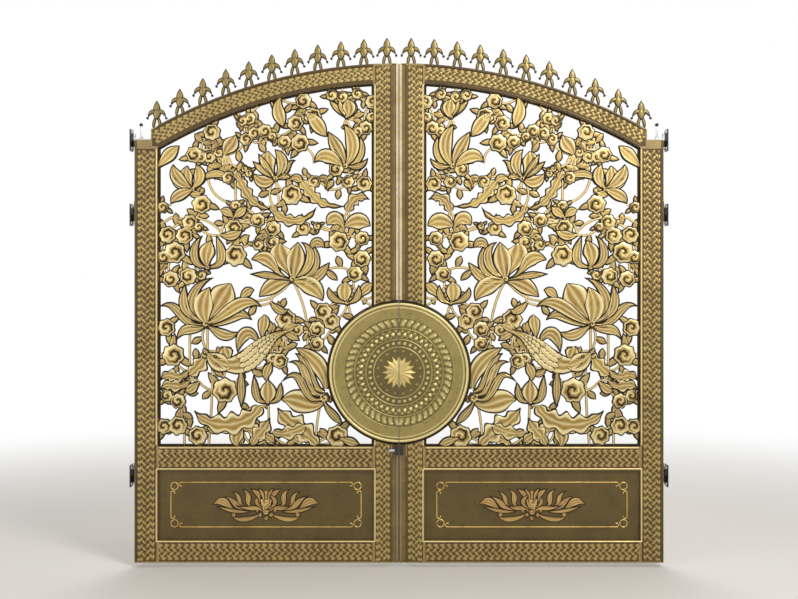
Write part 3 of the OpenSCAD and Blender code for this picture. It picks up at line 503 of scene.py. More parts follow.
CARP = [
    (962,1505, 1020,1562, 1072,1532, 1102,1420, 84), (925,1520, 930,1580, 920,1640, 922,1692, 76, 1.7),
    (800,1548, 765,1592, 730,1612, 682,1622, 62), CARP_BODY,
    (1150,1345, 1205,1352, 1262,1385, 1316,1434, 122, 1.1), (790,1560, 752,1556, 716,1536, 672,1508, 56),
    (1165,1385, 1175,1412, 1186,1442, 1190,1474, 92), (1285,1410, 1308,1424, 1324,1442, 1332,1466, 34),
    (1285,1402, 1310,1404, 1332,1408, 1352,1418, 32), (1000,1320, 975,1296, 945,1282, 912,1276, 44),
]
CARP_EYE, CARP_EYE_LEVEL = (1252, 1402, 16), 15.0
# The carp's scales: number in a row, rows, where a row begins and ends on the spine, and the shift of every
# second row; then length and width as parts of a row's width, and lightness.
CARP_SCALES, CARP_ROWS, SCALES_FROM, SCALES_TO, SCALES_SHIFT = 10, 4, 0.14, 0.66, 0.029
SCALE_LENGTH, SCALE_WIDTH, SCALE_PALE = 2.0, 1.3, 6.0
# Scroll rosettes, each with three leaves: centre and radius.
ROSETTES = [
    (1580,2232, 60), (1465,2226, 60), (1532,2112, 75), (1606,2080, 50), (1556,1932, 58), (1436,1950, 60),
    (1348,1958, 38), (1116,2092, 75), (1130,2278, 62), (1428,2318, 55), (1365,2285, 36), (964,2332, 52),
    (860,2276, 55), (860,2182, 48), (962,2166, 42), (652,2276, 52), (556,2292, 30), (412,2188, 70),
    (252,2208, 52), (252,2070, 60), (300,1966, 56), (516,1708, 62), (460,1642, 60), (772,1655, 70),
    (1588,1600, 62), (1540,1412, 76), (1188,1172, 85), (1508,1100, 54), (1585,1135, 45), (1372,862, 66),
    (1508,930, 66), (1604,925, 55), (812,1372, 56), (862,1385, 46), (560,1590, 56), (560,1490, 52),
    (692,1585, 45), (420,858, 76), (732,2506, 72), (588,3042, 60), (708,2994, 56), (676,2860, 64),
    (782,2866, 50), (652,3146, 56), (388,3172, 42), (460,3186, 42), (284,3194, 42), (182,3138, 52),
    (186,3034, 40), (228,2962, 50), (284,2935, 40), (428,2680, 52), (348,2594, 46), (236,2580, 56),
    (580,2594, 46), (1164,2622, 46), (1348,2442, 66), (1116,2428, 42), (1396,2780, 58), (1350,2765, 45),
    (1292,2764, 46), (1228,2796, 38), (1044,2884, 46), (988,2924, 46), (916,2940, 50), (868,2900, 36),
    (1020,3026, 46), (1070,3010, 40), (1276,2932, 60), (1052,2684, 28), (1020,2652, 32), (1612,2420, 42),
]
ROSETTE_TURN, ROSETTE_GROWTH, ROSETTE_DOME, ROSETTE_RING = 47, 1.1, 9.0, 0.7
ROSETTE_SHARES, ROSETTE_CORNERS = (0.06, 0.24, 0.42, 0.6, 0.8, 1), 24
# Length, width, bulge and curl of a rosette's leaves, as parts of its radius.
WHORL = np.array((1.9, 0.6, 0.4, 0.75))
# Hearts of the flowers and buds: centre and radius.
HEARTS = [
    (1316,1622, 36), (728,1928, 34), (845,2616, 28), (368,2706, 30), (1410,2545, 28), (508,1122, 42),
    (1303,2012, 26), (352,1768, 24), (893,1092, 26), (355,3036, 22),
]
# Stems: foot, head and how far the stem is bowed.
STEMS = [
    (728,1925, 628,1440, 40), (1308,1600, 1308,1430, 0), (1428,1560, 1428,1320, 0), (1275,1360, 1300,790, 8),
    (1465,1150, 1465,790, 0), (892,1095, 886,880, 0), (535,1085, 565,870, -5), (1305,2012, 1430,1800, 25),
    (1110,1800, 745,1905, -65), (1400,2350, 1205,2240, 25), (842,2612, 815,2430, 0), (715,3000, 702,2860, 0),
    (812,2770, 700,2860, 25), (640,2830, 580,2720, 20), (355,3036, 375,2985, 0), (350,1768, 318,1640, 0),
    (285,1812, 190,1750, 0), (1305,2625, 1180,2458, -30), (1116,2600, 1116,2420, 0),
    (1308,2890, 1290,2770, 10), (1650,2300, 1560,2350, -5), (1560,2350, 1428,2318, 10),
    (1050,2420, 964,2332, 10), (1164,2622, 1148,2706, 0), (1148,2706, 1190,2790, -10),
    (732,2506, 820,2440, 0), (1612,2420, 1556,2440, 0), (1508,1100, 1465,1060, 0), (1372,862, 1300,840, 0),
    (860,2276, 840,2390, 0), (652,2276, 690,2350, 0), (412,2188, 400,2290, 0), (1436,1950, 1440,1880, 0),
    (1348,1958, 1320,1990, 0), (1130,2278, 1130,2350, 0),
]
PETAL_EDGE, PETAL_STEP, PETAL_DOME, PETAL_MARGIN, FRILL = 4.0, 1.5, 9.0, 7.0, 0.3
PETAL_FULLNESS, PETAL_TIP, DOME_FULL, PETAL_LAYERS = 1.25, 0.985, 20.0, 5
FULL_SECTION, SLIM_SECTION = (0, 0.34, 0.66, 0.86, 1), (0, 0.6, 1)
SECTION_HEIGHTS = (0.85, 0.55, 1, 0.8, 0)
# Smaller blades: stations, section, edge, dome and margin, then step and shine where they differ.
LEAFLET = (6, SLIM_SECTION, 1.0, 6.0, PETAL_MARGIN, 0.5, 0.82)
SCALE = (6, SLIM_SECTION, 13.0, 4.0, 1.0)
SPRAY_PETAL = (15, FULL_SECTION, 5.0, 6.0, 2.0)
FINIAL_BLADE = (10, SLIM_SECTION, 4.0, 6.0, 2.0)
STEM_W, STEM_H, STEM_CORNERS = 10.5, 6.5, 6
# The panel's rim: its section, the mid rail, the two stiles, the arch, and the ring under the drum's edge.
RIM_W, RIM_H = 8.0, 11.0
RIM_FOOT, RIM_INNER, RIM_OUTER, RIM_ARCH, RIM_RING, RING_SPOT = 799, 180, 1634, 3259, 458, (0, 1296)
RIM_INNER_TOP, RIM_OUTER_TOP, RIM_ARCH_ENDS, RING_SPAN, RIM_STATIONS = 3255, 2826, (176, 1640), 66, 40
VINE_NEAR, VINE_REACH, VINE_BOW, VINE_SHORTEST = 80.0, 190.0, 0.16, 5
TENDRIL_LEAN, TENDRIL_SIZE, TENDRIL_FROM = 48, (36, 84), 55


def spine_weights(s):
    """Weights of four points on the cubic curve that passes them at s = 0, 1/3, 2/3 and 1."""
    a, b, c = s - 1 / 3, s - 2 / 3, s - 1
    return np.stack([-4.5 * a * b * c, 13.5 * s * b * c, -13.5 * s * a * c, 4.5 * s * a * b])


def petals(rows, stations=13, section=FULL_SECTION, edge=PETAL_EDGE, dome=PETAL_DOME, margin=PETAL_MARGIN,
           step=PETAL_STEP, shine=1.0, pale=0.0):
    """Petals as closed shells, from rows of four spine points, width, how far out it is widest and frills.

    The spine is a cubic curve through the four points. The half width is width / 2 sin(pi (0.12 + 0.88 s)^p),
    waved by the frills, plus a margin that closes at the tip. Both faces stand out by the edge, a step more
    from each petal to the next, and by the dome times a height that climbs to a bead inside the edge, dips
    and climbs again to a rib in the middle.
    """
    rows = np.array([(*row, *(PETAL_FULLNESS, 0)[len(row) - 9:]) for row in rows], float)
    s = np.linspace(0, PETAL_TIP, stations)
    path = np.einsum("kpx,pn->knx", rows[:, :8].reshape(-1, 4, 2), spine_weights(s))
    width, fullness, frills = rows[:, 8:11, None].transpose(1, 0, 2)
    waves = 1 + FRILL * np.sin(2 * np.pi * frills * s)
    half = width / 2 * np.sin(np.pi * (0.12 + 0.88 * s) ** fullness) * waves
    half = (half + margin * (1 - s ** 6))[..., None]
    t = np.array(section)
    t = np.concatenate([-t[:0:-1], t])
    loop = np.concatenate([t, t[::-1]])
    face = np.repeat([-1, 1], t.size)
    layer = np.mod(np.arange(len(rows)), PETAL_LAYERS)[:, None, None]
    height = np.interp(np.abs(loop), FULL_SECTION, SECTION_HEIGHTS)
    out = edge + step * layer + dome * np.minimum(1, half / DOME_FULL) * height
    tone = np.random.default_rng(len(rows)).random((len(rows), 1, 1))
    points = carry(path, half * loop, face * out)
    return tubes(points, rim=half * (1 - np.abs(loop)) + pale, crown=shine * height, tone=tone)


def carp_scales(row):
    """Rows for petals(): scales in rows along the carp's body, every second row set on by half a scale."""
    rows = []
    for j in range(CARP_ROWS):
        across = (j + 0.5) / CARP_ROWS - 0.5
        s = np.linspace(SCALES_FROM, SCALES_TO, CARP_SCALES) + SCALES_SHIFT * (j % 2)
        spots = spine_weights(s).T @ np.array(row[:8], float).reshape(4, 2)
        aside = sideways(spots)
        width = row[8] * np.sin(np.pi * (0.12 + 0.88 * s) ** row[9])
        feet = spots + (across * width)[:, None] * aside
        lean = np.degrees(np.arctan2(-aside[:, 1], aside[:, 0]))
        size = width / CARP_ROWS
        sizes = (SCALE_LENGTH * size, SCALE_WIDTH * size, 0 * size, 0 * size)
        rows += list(np.stack([*feet.T, lean, *sizes], axis=1))
    return bowed(rows)


def bowed(rows):
    """Rows for petals() from foot u, foot v, lean, length, width, bulge and curl.

    The spine leaves the foot at the lean, is bowed sideways by 4 bulge s (1 - s) and hooked by curl s^3.
    """
    foot_u, foot_v, lean, length, width, bulge, curl = np.array(rows, float).T[..., None]
    lean = np.radians(lean)
    s = np.arange(4) / 3
    sway = 4 * bulge * s * (1 - s) + curl * s ** 3
    u = foot_u + length * s * np.sin(lean) + sway * np.cos(lean)
    v = foot_v + length * s * np.cos(lean) - sway * np.sin(lean)
    return np.concatenate([join(u, v).reshape(len(rows), 8), width], axis=1)


def rosettes(rows, level=PETAL_EDGE + 4):
    """Scroll rosettes as closed domes, from rows of centre and radius, each turned on from the last.

    The outline is the radius times 0.92 + 0.08 cos(7 a). Both faces are a low dome over the share q of the
    radius, with one spiral ridge where cos(9 q - a) is highest, inside a plain ring.
    """
    u, v, radius = np.array(rows, float).T[..., None, None]
    q = np.array(ROSETTE_SHARES)
    share = np.concatenate([q, q[::-1]])[:, None]
    face = np.repeat([-1, 1], q.size)[:, None]
    turn = np.radians(ROSETTE_TURN * np.arange(len(rows)))[:, None, None]
    a = round_angles(ROSETTE_CORNERS)
    reach = share * radius * (0.92 + 0.08 * np.cos(7 * (a - turn)))
    spiral = np.where(share < ROSETTE_RING, 0.5 + 0.5 * np.cos(9 * share - a + turn), 0.9)
    out = face * (level + ROSETTE_DOME * (1 - share ** 3) * (0.4 + 0.6 * spiral))
    out = np.broadcast_to(out, reach.shape)
    points = join(u + reach * np.cos(a), out, v + reach * np.sin(a))
    rim = np.minimum((1 - share) * radius + 2, 4 + 26 * spiral)
    return tubes(points, rim=rim, crown=spiral, tone=0.3 + 0 * spiral)


def stems(rows):
    """Round stems, from rows of foot, head and bulge: the line between them bowed by 4 bulge s (1 - s)."""
    rows = np.array(rows, float)
    foot, head, bulge = rows[:, None, :2], rows[:, None, 2:4], rows[:, 4, None, None]
    way = head - foot
    s = np.linspace(0, 1, 7)[:, None]
    aside = join(way[..., 1], -way[..., 0]) / np.linalg.norm(way, axis=2, keepdims=True)
    path = foot + way * s + 4 * bulge * s * (1 - s) * aside
    points = rods(path, STEM_W, STEM_H, 0.0, STEM_CORNERS)
    lit = np.abs(np.cos(round_angles(STEM_CORNERS)))
    return tubes(points, rim=2 + 16 * lit, crown=0.95 * lit, tone=0.15 + 0 * lit)


def nearest_on_rim(spots):
    """The nearest point of the panel's rim to each spot: on the rail, a stile, the arch or the ring."""
    u, v = spots.T
    far = np.linalg.norm(spots, axis=1, keepdims=True)
    off = spots - RING_SPOT
    straight = join(u, 0 * u + RIM_FOOT), join(0 * v + RIM_OUTER, v), join(0 * v + RIM_INNER, v)
    ring = RING_SPOT + off * RIM_RING / np.linalg.norm(off, axis=1, keepdims=True)
    rims = np.stack([*straight, spots * RIM_ARCH / far, ring])
    pick = np.linalg.norm(rims - spots, axis=2).argmin(0)
    return rims[pick, np.arange(len(spots))]


def vines(spots):
    """Rows for stems(): vines that join all spots to each other and to the rim.

    Every two spots within reach of each other are joined. Besides, a tree is grown from the rim, always by
    the spot nearest to it, and its other vines are laid too. Vines are bowed to one side and the other.
    """
    spots = np.array(spots, float)
    feet = nearest_on_rim(spots)
    reach = np.linalg.norm(spots - feet, axis=1)
    waiting, from_rim = np.ones((2, len(spots)), bool)
    apart = np.linalg.norm(spots[:, None] - spots, axis=2)
    close = (apart > VINE_NEAR) & (apart < VINE_REACH)
    ends = []
    while waiting.any():
        i = np.where(waiting, reach, np.inf).argmin()
        if from_rim[i] or not VINE_NEAR < reach[i] < VINE_REACH:
            ends.append((*feet[i], *spots[i]))
        waiting[i] = False
        nearer = apart[i] < reach
        feet = np.where(nearer[:, None], spots[i], feet)
        from_rim &= ~nearer
        reach = np.minimum(apart[i], reach)
    first, second = np.nonzero(np.triu(close, 1))
    ends = np.concatenate([ends, np.concatenate([spots[first], spots[second]], axis=1)])
    length = np.linalg.norm(ends[:, 2:] - ends[:, :2], axis=1)
    ends, length = ends[length > VINE_SHORTEST], length[length > VINE_SHORTEST]
    bow = VINE_BOW * length * np.where(np.arange(len(ends)) % 2, 1, -1)
    return np.concatenate([ends, bow[:, None]], axis=1)


def tendrils(rows):
    """Rows for petals(): a small curled leaf half way along each vine, on the outside of its bow."""
    foot, head, bow = rows[:, :2], rows[:, 2:4], rows[:, 4]
    way = head - foot
    length = np.linalg.norm(way, axis=1)
    aside = join(way[:, 1], -way[:, 0]) / length[:, None]
    spot = (foot + head) / 2 + bow[:, None] * aside
    side = np.sign(bow)
    lean = np.degrees(np.arctan2(way[:, 0], way[:, 1])) + TENDRIL_LEAN * side
    size = np.clip(0.5 * length, *TENDRIL_SIZE)
    leaves = np.stack([*spot.T, lean, size, 0.5 * size, 0.12 * size * side, 0.3 * size * side], axis=1)
    return bowed(leaves[length > TENDRIL_FROM])


def rim_rods():
    """The panel's own rim along the opening, and the ring that carries the drum's edge."""
    ends = [((RIM_INNER, RIM_FOOT), (RIM_OUTER, RIM_FOOT)),
            ((RIM_OUTER, RIM_FOOT - RIM_W), (RIM_OUTER, RIM_OUTER_TOP)),
            ((RIM_INNER, RIM_FOOT - RIM_W), (RIM_INNER, RIM_INNER_TOP))]
    paths = [np.linspace(*pair, RIM_STATIONS) for pair in ends]
    paths.append(arch(RIM_ARCH, *RIM_ARCH_ENDS, RIM_STATIONS))
    angle = np.radians(np.linspace(-RING_SPAN, RING_SPAN, RIM_STATIONS))
    paths.append(RIM_RING * join(np.cos(angle), np.sin(angle)) + RING_SPOT)
    return tubes(rods(paths, RIM_W, RIM_H, 0.0), rim=9.0, crown=0.2, tone=0.0)


petal_gold, tree, surface = new_finish("lotus gold", 0.45)
rim, crown, tone = mesh_values(tree, "rim", "crown", "tone")
warm = blend(tree, rise(tree, tone, 0.55, 1.0), paint("bb994a"), paint("a5813c"))
# Painted shade: the lotus gold darkens towards the bottom of the panel, from 2.3 m down to 0.9 m.
warm = blend(tree, fall(tree, coordinate(tree, "Z"), 0.9, 2.3, 0.55), warm, paint("7f682f"))
# Dark within 8 to 14.5 mm of an edge: patina in the grooves and painted shade along the edges. Pale on the
# crowns: rubbed gold and a painted highlight.
rub_and_paint_light(tree, surface, [warm, "8f6e33", "1f1506", "f6e8b2"],
    fall(tree, rim, 8.0, 14.5), rise(tree, crown, 0.6, 1.0, 0.85))
scrolls = [(u, v, ROSETTE_GROWTH * r) for u, v, r in ROSETTES] + HEARTS
whorls = bowed([(u, v, ROSETTE_TURN * i + 120 * k, *(WHORL * r))
                for i, (u, v, r) in enumerate(ROSETTES) for k in range(3)])
leaf_feet = [row[:2] for row in LEAVES + WAVE_LEAVES + CARP]
creepers = vines([row[:2] for row in ROSETTES + HEARTS] + leaf_feet)
scrollwork = [stems(STEMS), stems(creepers), rosettes(scrolls), petals(whorls, *LEAFLET)]
scrollwork += [petals(tendrils(creepers), *LEAFLET), rim_rods()]
add_pair("lotus_scrolls", scrollwork, petal_gold)
blooms = [petals(group, 17) for group in (LARGE_LOTUS, SECOND_LOTUS, DRUM_LOTUS, CARP)]
blooms += [petals(group) for group in (ARCH_LOTUSES, BUDS, LEAVES)] + [petals(WAVE_LEAVES, 41)]
blooms += [petals(carp_scales(CARP_BODY), *SCALE, pale=SCALE_PALE), rosettes([CARP_EYE], CARP_EYE_LEVEL)]
add_pair("lotus_flowers", blooms, petal_gold, "lotus_panel")

# Kick panels. A flat plate closes the foot of each leaf against splashes. A raised line frames it with a ring
# in each corner around a low lotus spray; plate and ornament are one casting, olive with rubbed lines.
KICK = (172, 1642, 153, 630)
KICK_HALF, KICK_CHAMFER = 6.0, 2.0
LINE_INSET, LINE_R, RING_W, RING_R, HOOK_GAP, HOOK_R, HOOK_TURN = 86, 5.0, 4.0, 25.0, 72.0, 13.0, 1.15
# Petals of the spray on one side of its middle: four spine points from the middle of its foot, and the width.
SPRAY_MIDDLE = (907, 153)
SPRAY = [
    (225,212, 270,247, 310,262, 370,235, 58), (110,192, 180,192, 260,205, 345,232, 30),
    (120,202, 190,227, 225,262, 295,302, 42), (95,227, 122,257, 122,302, 170,350, 40),
    (45,247, 50,302, 70,327, 108,350, 36), (30,182, 100,147, 180,139, 232,165, 36),
    (10,180, 60,215, 118,215, 215,238, 34), (0,200, 58,245, 52,282, 8,312, 34),
    (150,232, 178,258, 190,296, 240,334, 34), (22,255, 18,295, 32,328, 58,356, 28),
]
SPRAY_BUD = (0, 196, 0, 220, 0, 300, 0, 330, 60, 1.1)
SPRAY_EYES = [(218, 172, 20), (37, 167, 18), (60, 196, 16), (0, 148, 18), (0, 190, 24), (0, 258, 44)]


def line_box():
    """The sides of the line frame: the plate's own, drawn in by the inset."""
    return np.add(KICK, (LINE_INSET, -LINE_INSET) * 2)


def line_frame():
    """Paths of the raised lines: four straight runs that stop short of the corners."""
    u0, u1, v0, v1 = line_box()
    gap = HOOK_GAP
    return [((u0 + gap, v0), (u1 - gap, v0)), ((u0 + gap, v1), (u1 - gap, v1)),
            ((u0, v0 + gap), (u0, v1 - gap)), ((u1, v0 + gap), (u1, v1 - gap))]


def corner_rings():
    """Paths in each corner of the line frame: a ring and two hooks that lead from the lines to it."""
    u0, u1, v0, v1 = line_box()
    turn = np.linspace(0, 2 * np.pi, 25)
    bend = np.linspace(0, HOOK_TURN * np.pi, 25)
    ring = RING_R + RING_R * join(np.cos(turn), np.sin(turn))
    hook = (HOOK_GAP, HOOK_R) - HOOK_R * join(np.sin(bend), np.cos(bend))
    corners = ((u0, v0, 1, 1), (u1, v0, -1, 1), (u0, v1, 1, -1), (u1, v1, -1, -1))
    return [(u, v) + path * (x, z) for u, v, x, z in corners for path in (ring, hook, hook[:, ::-1])]


def spray():
    """Rows for petals(): the spray's petals on both sides of its middle, then the bud in the middle."""
    rows = [(*np.multiply(row[:8], (way, 1) * 4), row[8]) for row in SPRAY for way in (-1, 1)]
    return [(*np.add(row[:8], SPRAY_MIDDLE * 4), *row[8:]) for row in rows + [SPRAY_BUD]]


def spray_eyes():
    """Rows for rosettes(): the curled eyes of the spray on both sides, and those in its middle."""
    middle, foot = SPRAY_MIDDLE
    return [(middle + way * u, foot + v, r) for u, v, r in SPRAY_EYES for way in ((1, -1) if u else (1,))]


olive, tree, surface = new_finish("kick plate paint", 0.35)
rub_and_paint_light(tree, surface, ["584923", "4a3b1b", "32250d", "7c6738"], 0.0, 0.15)
spray_gold, tree, surface = new_finish("kick ornament gold", 0.45)
rim, crown, tone = mesh_values(tree, "rim", "crown", "tone")
ruddy = blend(tree, rise(tree, tone, 0.4, 0.9), paint("ab8443"), paint("8f5f2c"))
# Dark near the blades' edges: patina and painted shade. Pale on the crowns: rubbed gold and a painted
# highlight.
rub_and_paint_light(tree, surface, [ruddy, "87642f", "2e200c", "dfc382"],
    fall(tree, rim, 5.0, 9.0), rise(tree, crown, 0.5, 1.0, 0.8))
middle, tall = (KICK[2] + KICK[3]) / 2, (KICK[3] - KICK[2]) / 2
plate = bar((KICK[0], middle), (KICK[1], middle), tall, KICK_HALF, KICK_CHAMFER)
add_pair("kick_plate", [plate], olive, "kick_panel", sharp=30)
lines = face_rods(line_frame(), LINE_R, LINE_R, KICK_HALF)
lines += face_rods(corner_rings(), RING_W, LINE_R, KICK_HALF, 8)
add_pair("kick_lines", lines, bright)
spray_petals = petals(spray(), *SPRAY_PETAL)
add_pair("kick_spray", [spray_petals, rosettes(spray_eyes())], spray_gold)

# Drum. A round boss like the head of a bronze drum covers the meeting line, one half on each leaf. Each half
# is a casting screwed to its stile from behind: a round rim, a plain band, bands of ornament and a star.
DRUM_R, DRUM_SHADOW_REACH, DRUM_Z, DRUM_BACK, DRUM_FRONT, DRUM_GAP = 475.0, 492.0, 1296.0, -30.0, -58.0, 2.6
# The round rim and the fine line as middle and half width, the plain band, and the rings between bands; then
# bands of strokes as two radii and a number, and pearls as place, radius and number.
DRUM_EDGE, DRUM_LINE, DRUM_BAND, DRUM_RINGS = (464, 10), (440, 3), (378, 452), (372, 300, 224, 172)
FEATHERS, NET, FEATHER_PEARLS, PEARLS = (306, 366, 48), (230, 294, 40), (350, 8, 48), (198, 13, 32)
STAR_RAYS, STAR_TIP, STAR_NOTCH, STAR_PEARLS = 16, 118.0, 82.0, (146, 9, 16)


def bump_at(r, centre, half):
    """A round bead in r: sqrt(1 - x^2) with x = (r - centre) / half, and 0 outside it."""
    return np.sqrt(np.clip(1 - ((r - centre) / half) ** 2, 0, 1))


def pearls(r, a, centre, radius, count):
    """A ring of pearls: a half ball about each of `count` places on the circle r = centre."""
    step = 2 * np.pi / count
    off = (np.mod(a + step / 2, step) - step / 2) * r
    return np.sqrt(np.clip(1 - ((r - centre) ** 2 + off ** 2) / radius ** 2, 0, 1))


def strokes(r, a, inner, outer, count, slant):
    """A band of slanting strokes: |sin((count a + slant x) / 2)|, faded by sqrt(4 x (1 - x)).

    x goes from 0 at the inner edge of the band to 1 at the outer one.
    """
    across = (r - inner) / (outer - inner)
    wave = np.abs(np.sin(0.5 * (count * a + slant * across)))
    return wave * np.sqrt(np.clip(4 * across * (1 - across), 0, 1))


def star(r, a):
    """A star of rays: a cone that falls to its edge, which swings between the tips and the notches."""
    phase = np.abs(np.mod(a * STAR_RAYS / (2 * np.pi), 1) - 0.5) * 2
    edge = STAR_NOTCH + (STAR_TIP - STAR_NOTCH) * phase ** 1.6
    return np.clip(1 - r / edge, 0, 1)


def drum_relief(r, a):
    """Height of the drum's face over its plate, in millimetres, with r from its centre and a around it.

    From the rim inward: a round rim, a plain band, feather strokes with a pearl on each, a net, pearls, small
    pearls and the star, with a ring between one and the next. The net is strokes that slant both ways,
    multiplied.
    """
    inner, outer = DRUM_BAND
    height = 8 * bump_at(r, *DRUM_EDGE) + 3.5 * (r < outer) * (r > inner) + 2 * bump_at(r, *DRUM_LINE) + 0 * a
    for ring in DRUM_RINGS:
        height += 4 * bump_at(r, ring, 5)
    height += 5 * strokes(r, a, *FEATHERS, 2.2) + 3 * pearls(r, a, *FEATHER_PEARLS)
    height += 7 * strokes(r, a, *NET, 7.0) * strokes(r, a, *NET, -7.0)
    height += 5 * pearls(r, a, *PEARLS) + 3 * pearls(r, a + np.pi / STAR_RAYS, *STAR_PEARLS)
    return height + 13 * star(r, a) ** 0.8 + 3 * (star(r, a) > 0)


def half_drum():
    """One half of the drum as a closed shell.

    The face is a grid over r and the angle, whose span ends at the meeting gap. The wall slopes out to a flat
    back wider than the face, painted dark as a painted shadow around the drum, and the cut at the gap is one
    flat face at each end.
    """
    r = np.concatenate([np.linspace(DRUM_GAP + 0.01, 120, 36), np.linspace(122, DRUM_R, 118)])
    a = np.linspace(-1, 1, 241)[:, None] * np.arccos(DRUM_GAP / r)
    relief = drum_relief(r, a)
    face = join(r * np.cos(a), DRUM_FRONT - relief, DRUM_Z + r * np.sin(a))
    wall = face[:, -1:] * (1, 0, 1) + (0, DRUM_FRONT, 0)
    flare = (wall - (0, 0, DRUM_Z)) * (DRUM_SHADOW_REACH / DRUM_R, 0, DRUM_SHADOW_REACH / DRUM_R) + (0, DRUM_BACK, DRUM_Z)
    flare[..., 0] = np.maximum(flare[..., 0], DRUM_GAP)
    back = np.concatenate([wall, flare, face[:, :1] * (1, 0, 1) + (0, DRUM_BACK, 0)], axis=1)
    points = np.concatenate([face, back], axis=1)
    n, m = points.shape[:2]
    ring = np.arange(n * m).reshape(n, m)
    a0, a1 = ring[:-1], ring[1:]
    quads = join(a0, np.roll(a0, -1, 1), np.roll(a1, -1, 1), a1).reshape(-1, 4)
    ends = np.stack([ring[0, ::-1], ring[-1]])
    # The wall and back get a lift of -9, which paints them dark: a painted shadow around the drum.
    lift = np.concatenate([relief, np.full((n, 3), -9.0)], axis=1).ravel()
    middle = np.concatenate([star(r, a) > 0, np.zeros((n, 3))], axis=1).ravel()
    return points.reshape(-1, 3), [quads, ends], {"lift": lift, "middle": middle}


drum_gold, tree, surface = new_finish("drum gold", 0.45)
lift, middle = mesh_values(tree, "lift", "middle")
drum_paint = blend(tree, middle, paint("94844a"), paint("ab8d38"))
# Patina and painted shade in the relief's lows, painted shadow on the wall and back; painted highlight on the
# highs, half as strong on the star.
low = calc(tree, "MAXIMUM", fall(tree, lift, 0.4, 2.6, 0.62), fall(tree, lift, -6.0, -2.0))
high = calc(tree, "MULTIPLY", rise(tree, lift, 3.2, 5.8), calc(tree, "MULTIPLY_ADD", middle, -0.5, 1.0))
rub_and_paint_light(tree, surface, [drum_paint, "85753f", "2c200c", "e0cf94"], low, high)
add_pair("drum_face", [half_drum()], drum_gold, "half_drum", sharp=60)

# Finials. A row of spear heads stands on each arch, each with a waist, two drooping arms and two spread legs.
# Each is a small casting, painted gold and welded to the flat seat under it.
FINIAL_H, FINIAL_FIRST, FINIAL_PITCH, ARCH_R, FINIALS = 178.0, 83.0, 157.0, 3400.0, 11
# Blades of a finial: foot, lean, length, width, bulge and curl, with lengths as parts of its height, and how
# far out the blade is widest.
FINIAL_BLADES = [
    (0.02, 0.44, 166, 0.56, 0.11, -0.02, 0.02, 1.25), (-0.02, 0.44, -166, 0.56, 0.11, 0.02, -0.02, 1.25),
    (0, 0.56, 100, 0.38, 0.15, -0.06, 0.15, 0.9), (0, 0.56, -100, 0.38, 0.15, 0.06, -0.15, 0.9),
    (0, 0.66, 180, 0.40, 0.27, 0, 0, 1.0), (0, 0.52, 0, 0.49, 0.25, 0, 0, 0.85),
]
FINIAL_KNOBS = [(0.36, 0.33, 0.05), (-0.36, 0.33, 0.05)]


def finial_seat(i):
    """Middle of the flat seat of finial i: halfway along the chord under it."""
    u = FINIAL_FIRST + FINIAL_PITCH * (i + np.array([-0.5, 0.5]))
    return np.array([u.mean(), np.sqrt(ARCH_R ** 2 - u ** 2).mean()])


def finial_shells(seat):
    """The blades and knobs of one finial, with sizes as parts of its height."""
    blades = np.array(FINIAL_BLADES)
    blades[:, [0, 1, 3, 4, 5, 6]] *= FINIAL_H
    blades[:, :2] += seat
    rows = np.column_stack([bowed(blades[:, :7]), blades[:, 7]])
    knobs = FINIAL_H * np.array(FINIAL_KNOBS) + [*seat, 0]
    return [petals(rows, *FINIAL_BLADE), rosettes(knobs)]


finial_gold, tree, surface = new_finish("finial gold", 0.45)
rim, crown = mesh_values(tree, "rim", "crown")
# Dark near the blades' edges: patina and painted shade. Pale on the crowns: rubbed gold and a painted
# highlight.
rub_and_paint_light(tree, surface, ["755f2d", "55431f", "1f1607", "b39f60"],
    fall(tree, rim, 4.0, 9.0), rise(tree, crown, 0.4, 0.95, 0.5))
for i in range(FINIALS):
    shells = finial_shells(finial_seat(i))
    add_pair(f"spear_{i + 1}", shells, finial_gold, f"finial_{i + 1}")

# Hinges. Each leaf turns on a wall plate with a pin at the top, above the middle and near the foot. Plates,
# flaps and knuckles are dark painted steel with hexagon anchors; the top straps are galvanised.
PLATE_U, HINGE_Y = 1829.0, 30.0
HINGE_Z = {"top": 2879.5, "upper": 2369.5, "lower": 586.0}
ANCHOR_Y, ANCHOR_Z = 28.0, 55.0
STUD = (1760.0, 0.0, 2885.0)
IRON_NODES = ("top_wall_plate", "upper_wall_plate", "lower_wall_plate",
              "upper_flap", "lower_flap", "bolt_plate")


def lathe(profile, sides):
    """A turned piece along Z: rings with `sides` corners, of each radius at each height in the profile."""
    r, z = np.array(profile, float).T
    a = round_angles(sides)
    height = np.broadcast_to(z[:, None], (len(r), sides))
    return join(r[:, None] * np.cos(a), r[:, None] * np.sin(a), height)[None]


def hexagon_head(across, tall):
    """A chamfered hexagon head on a washer."""
    r = across / np.sqrt(3)
    washer = lathe([(r * 1.25, 0), (r * 1.25, 1.6), (r * 1.2, 2)], 24)
    return [washer, lathe([(r, 2), (r, tall - 1), (r * 0.86, tall)], 6)]


def anchor_heads():
    """Four anchors on each wall plate, with their heads towards the leaf."""
    shells = []
    for z in HINGE_Z.values():
        for y in (HINGE_Y - ANCHOR_Y, HINGE_Y + ANCHOR_Y):
            for up in (-ANCHOR_Z, ANCHOR_Z):
                parts = [part[..., ::-1] * (-1, 1, 1) for part in hexagon_head(16, 8)]
                shells += [tubes(part + (PLATE_U, y, z + up)) for part in parts]
    return shells


def standing_bolt():
    """The bolt that stands on the top strap: washer, nut and shank."""
    nut = hexagon_head(24, 14) + [lathe([(6.5, 10), (6.5, 88), (5, 92)], 16)]
    return [tubes(part + STUD) for part in nut]


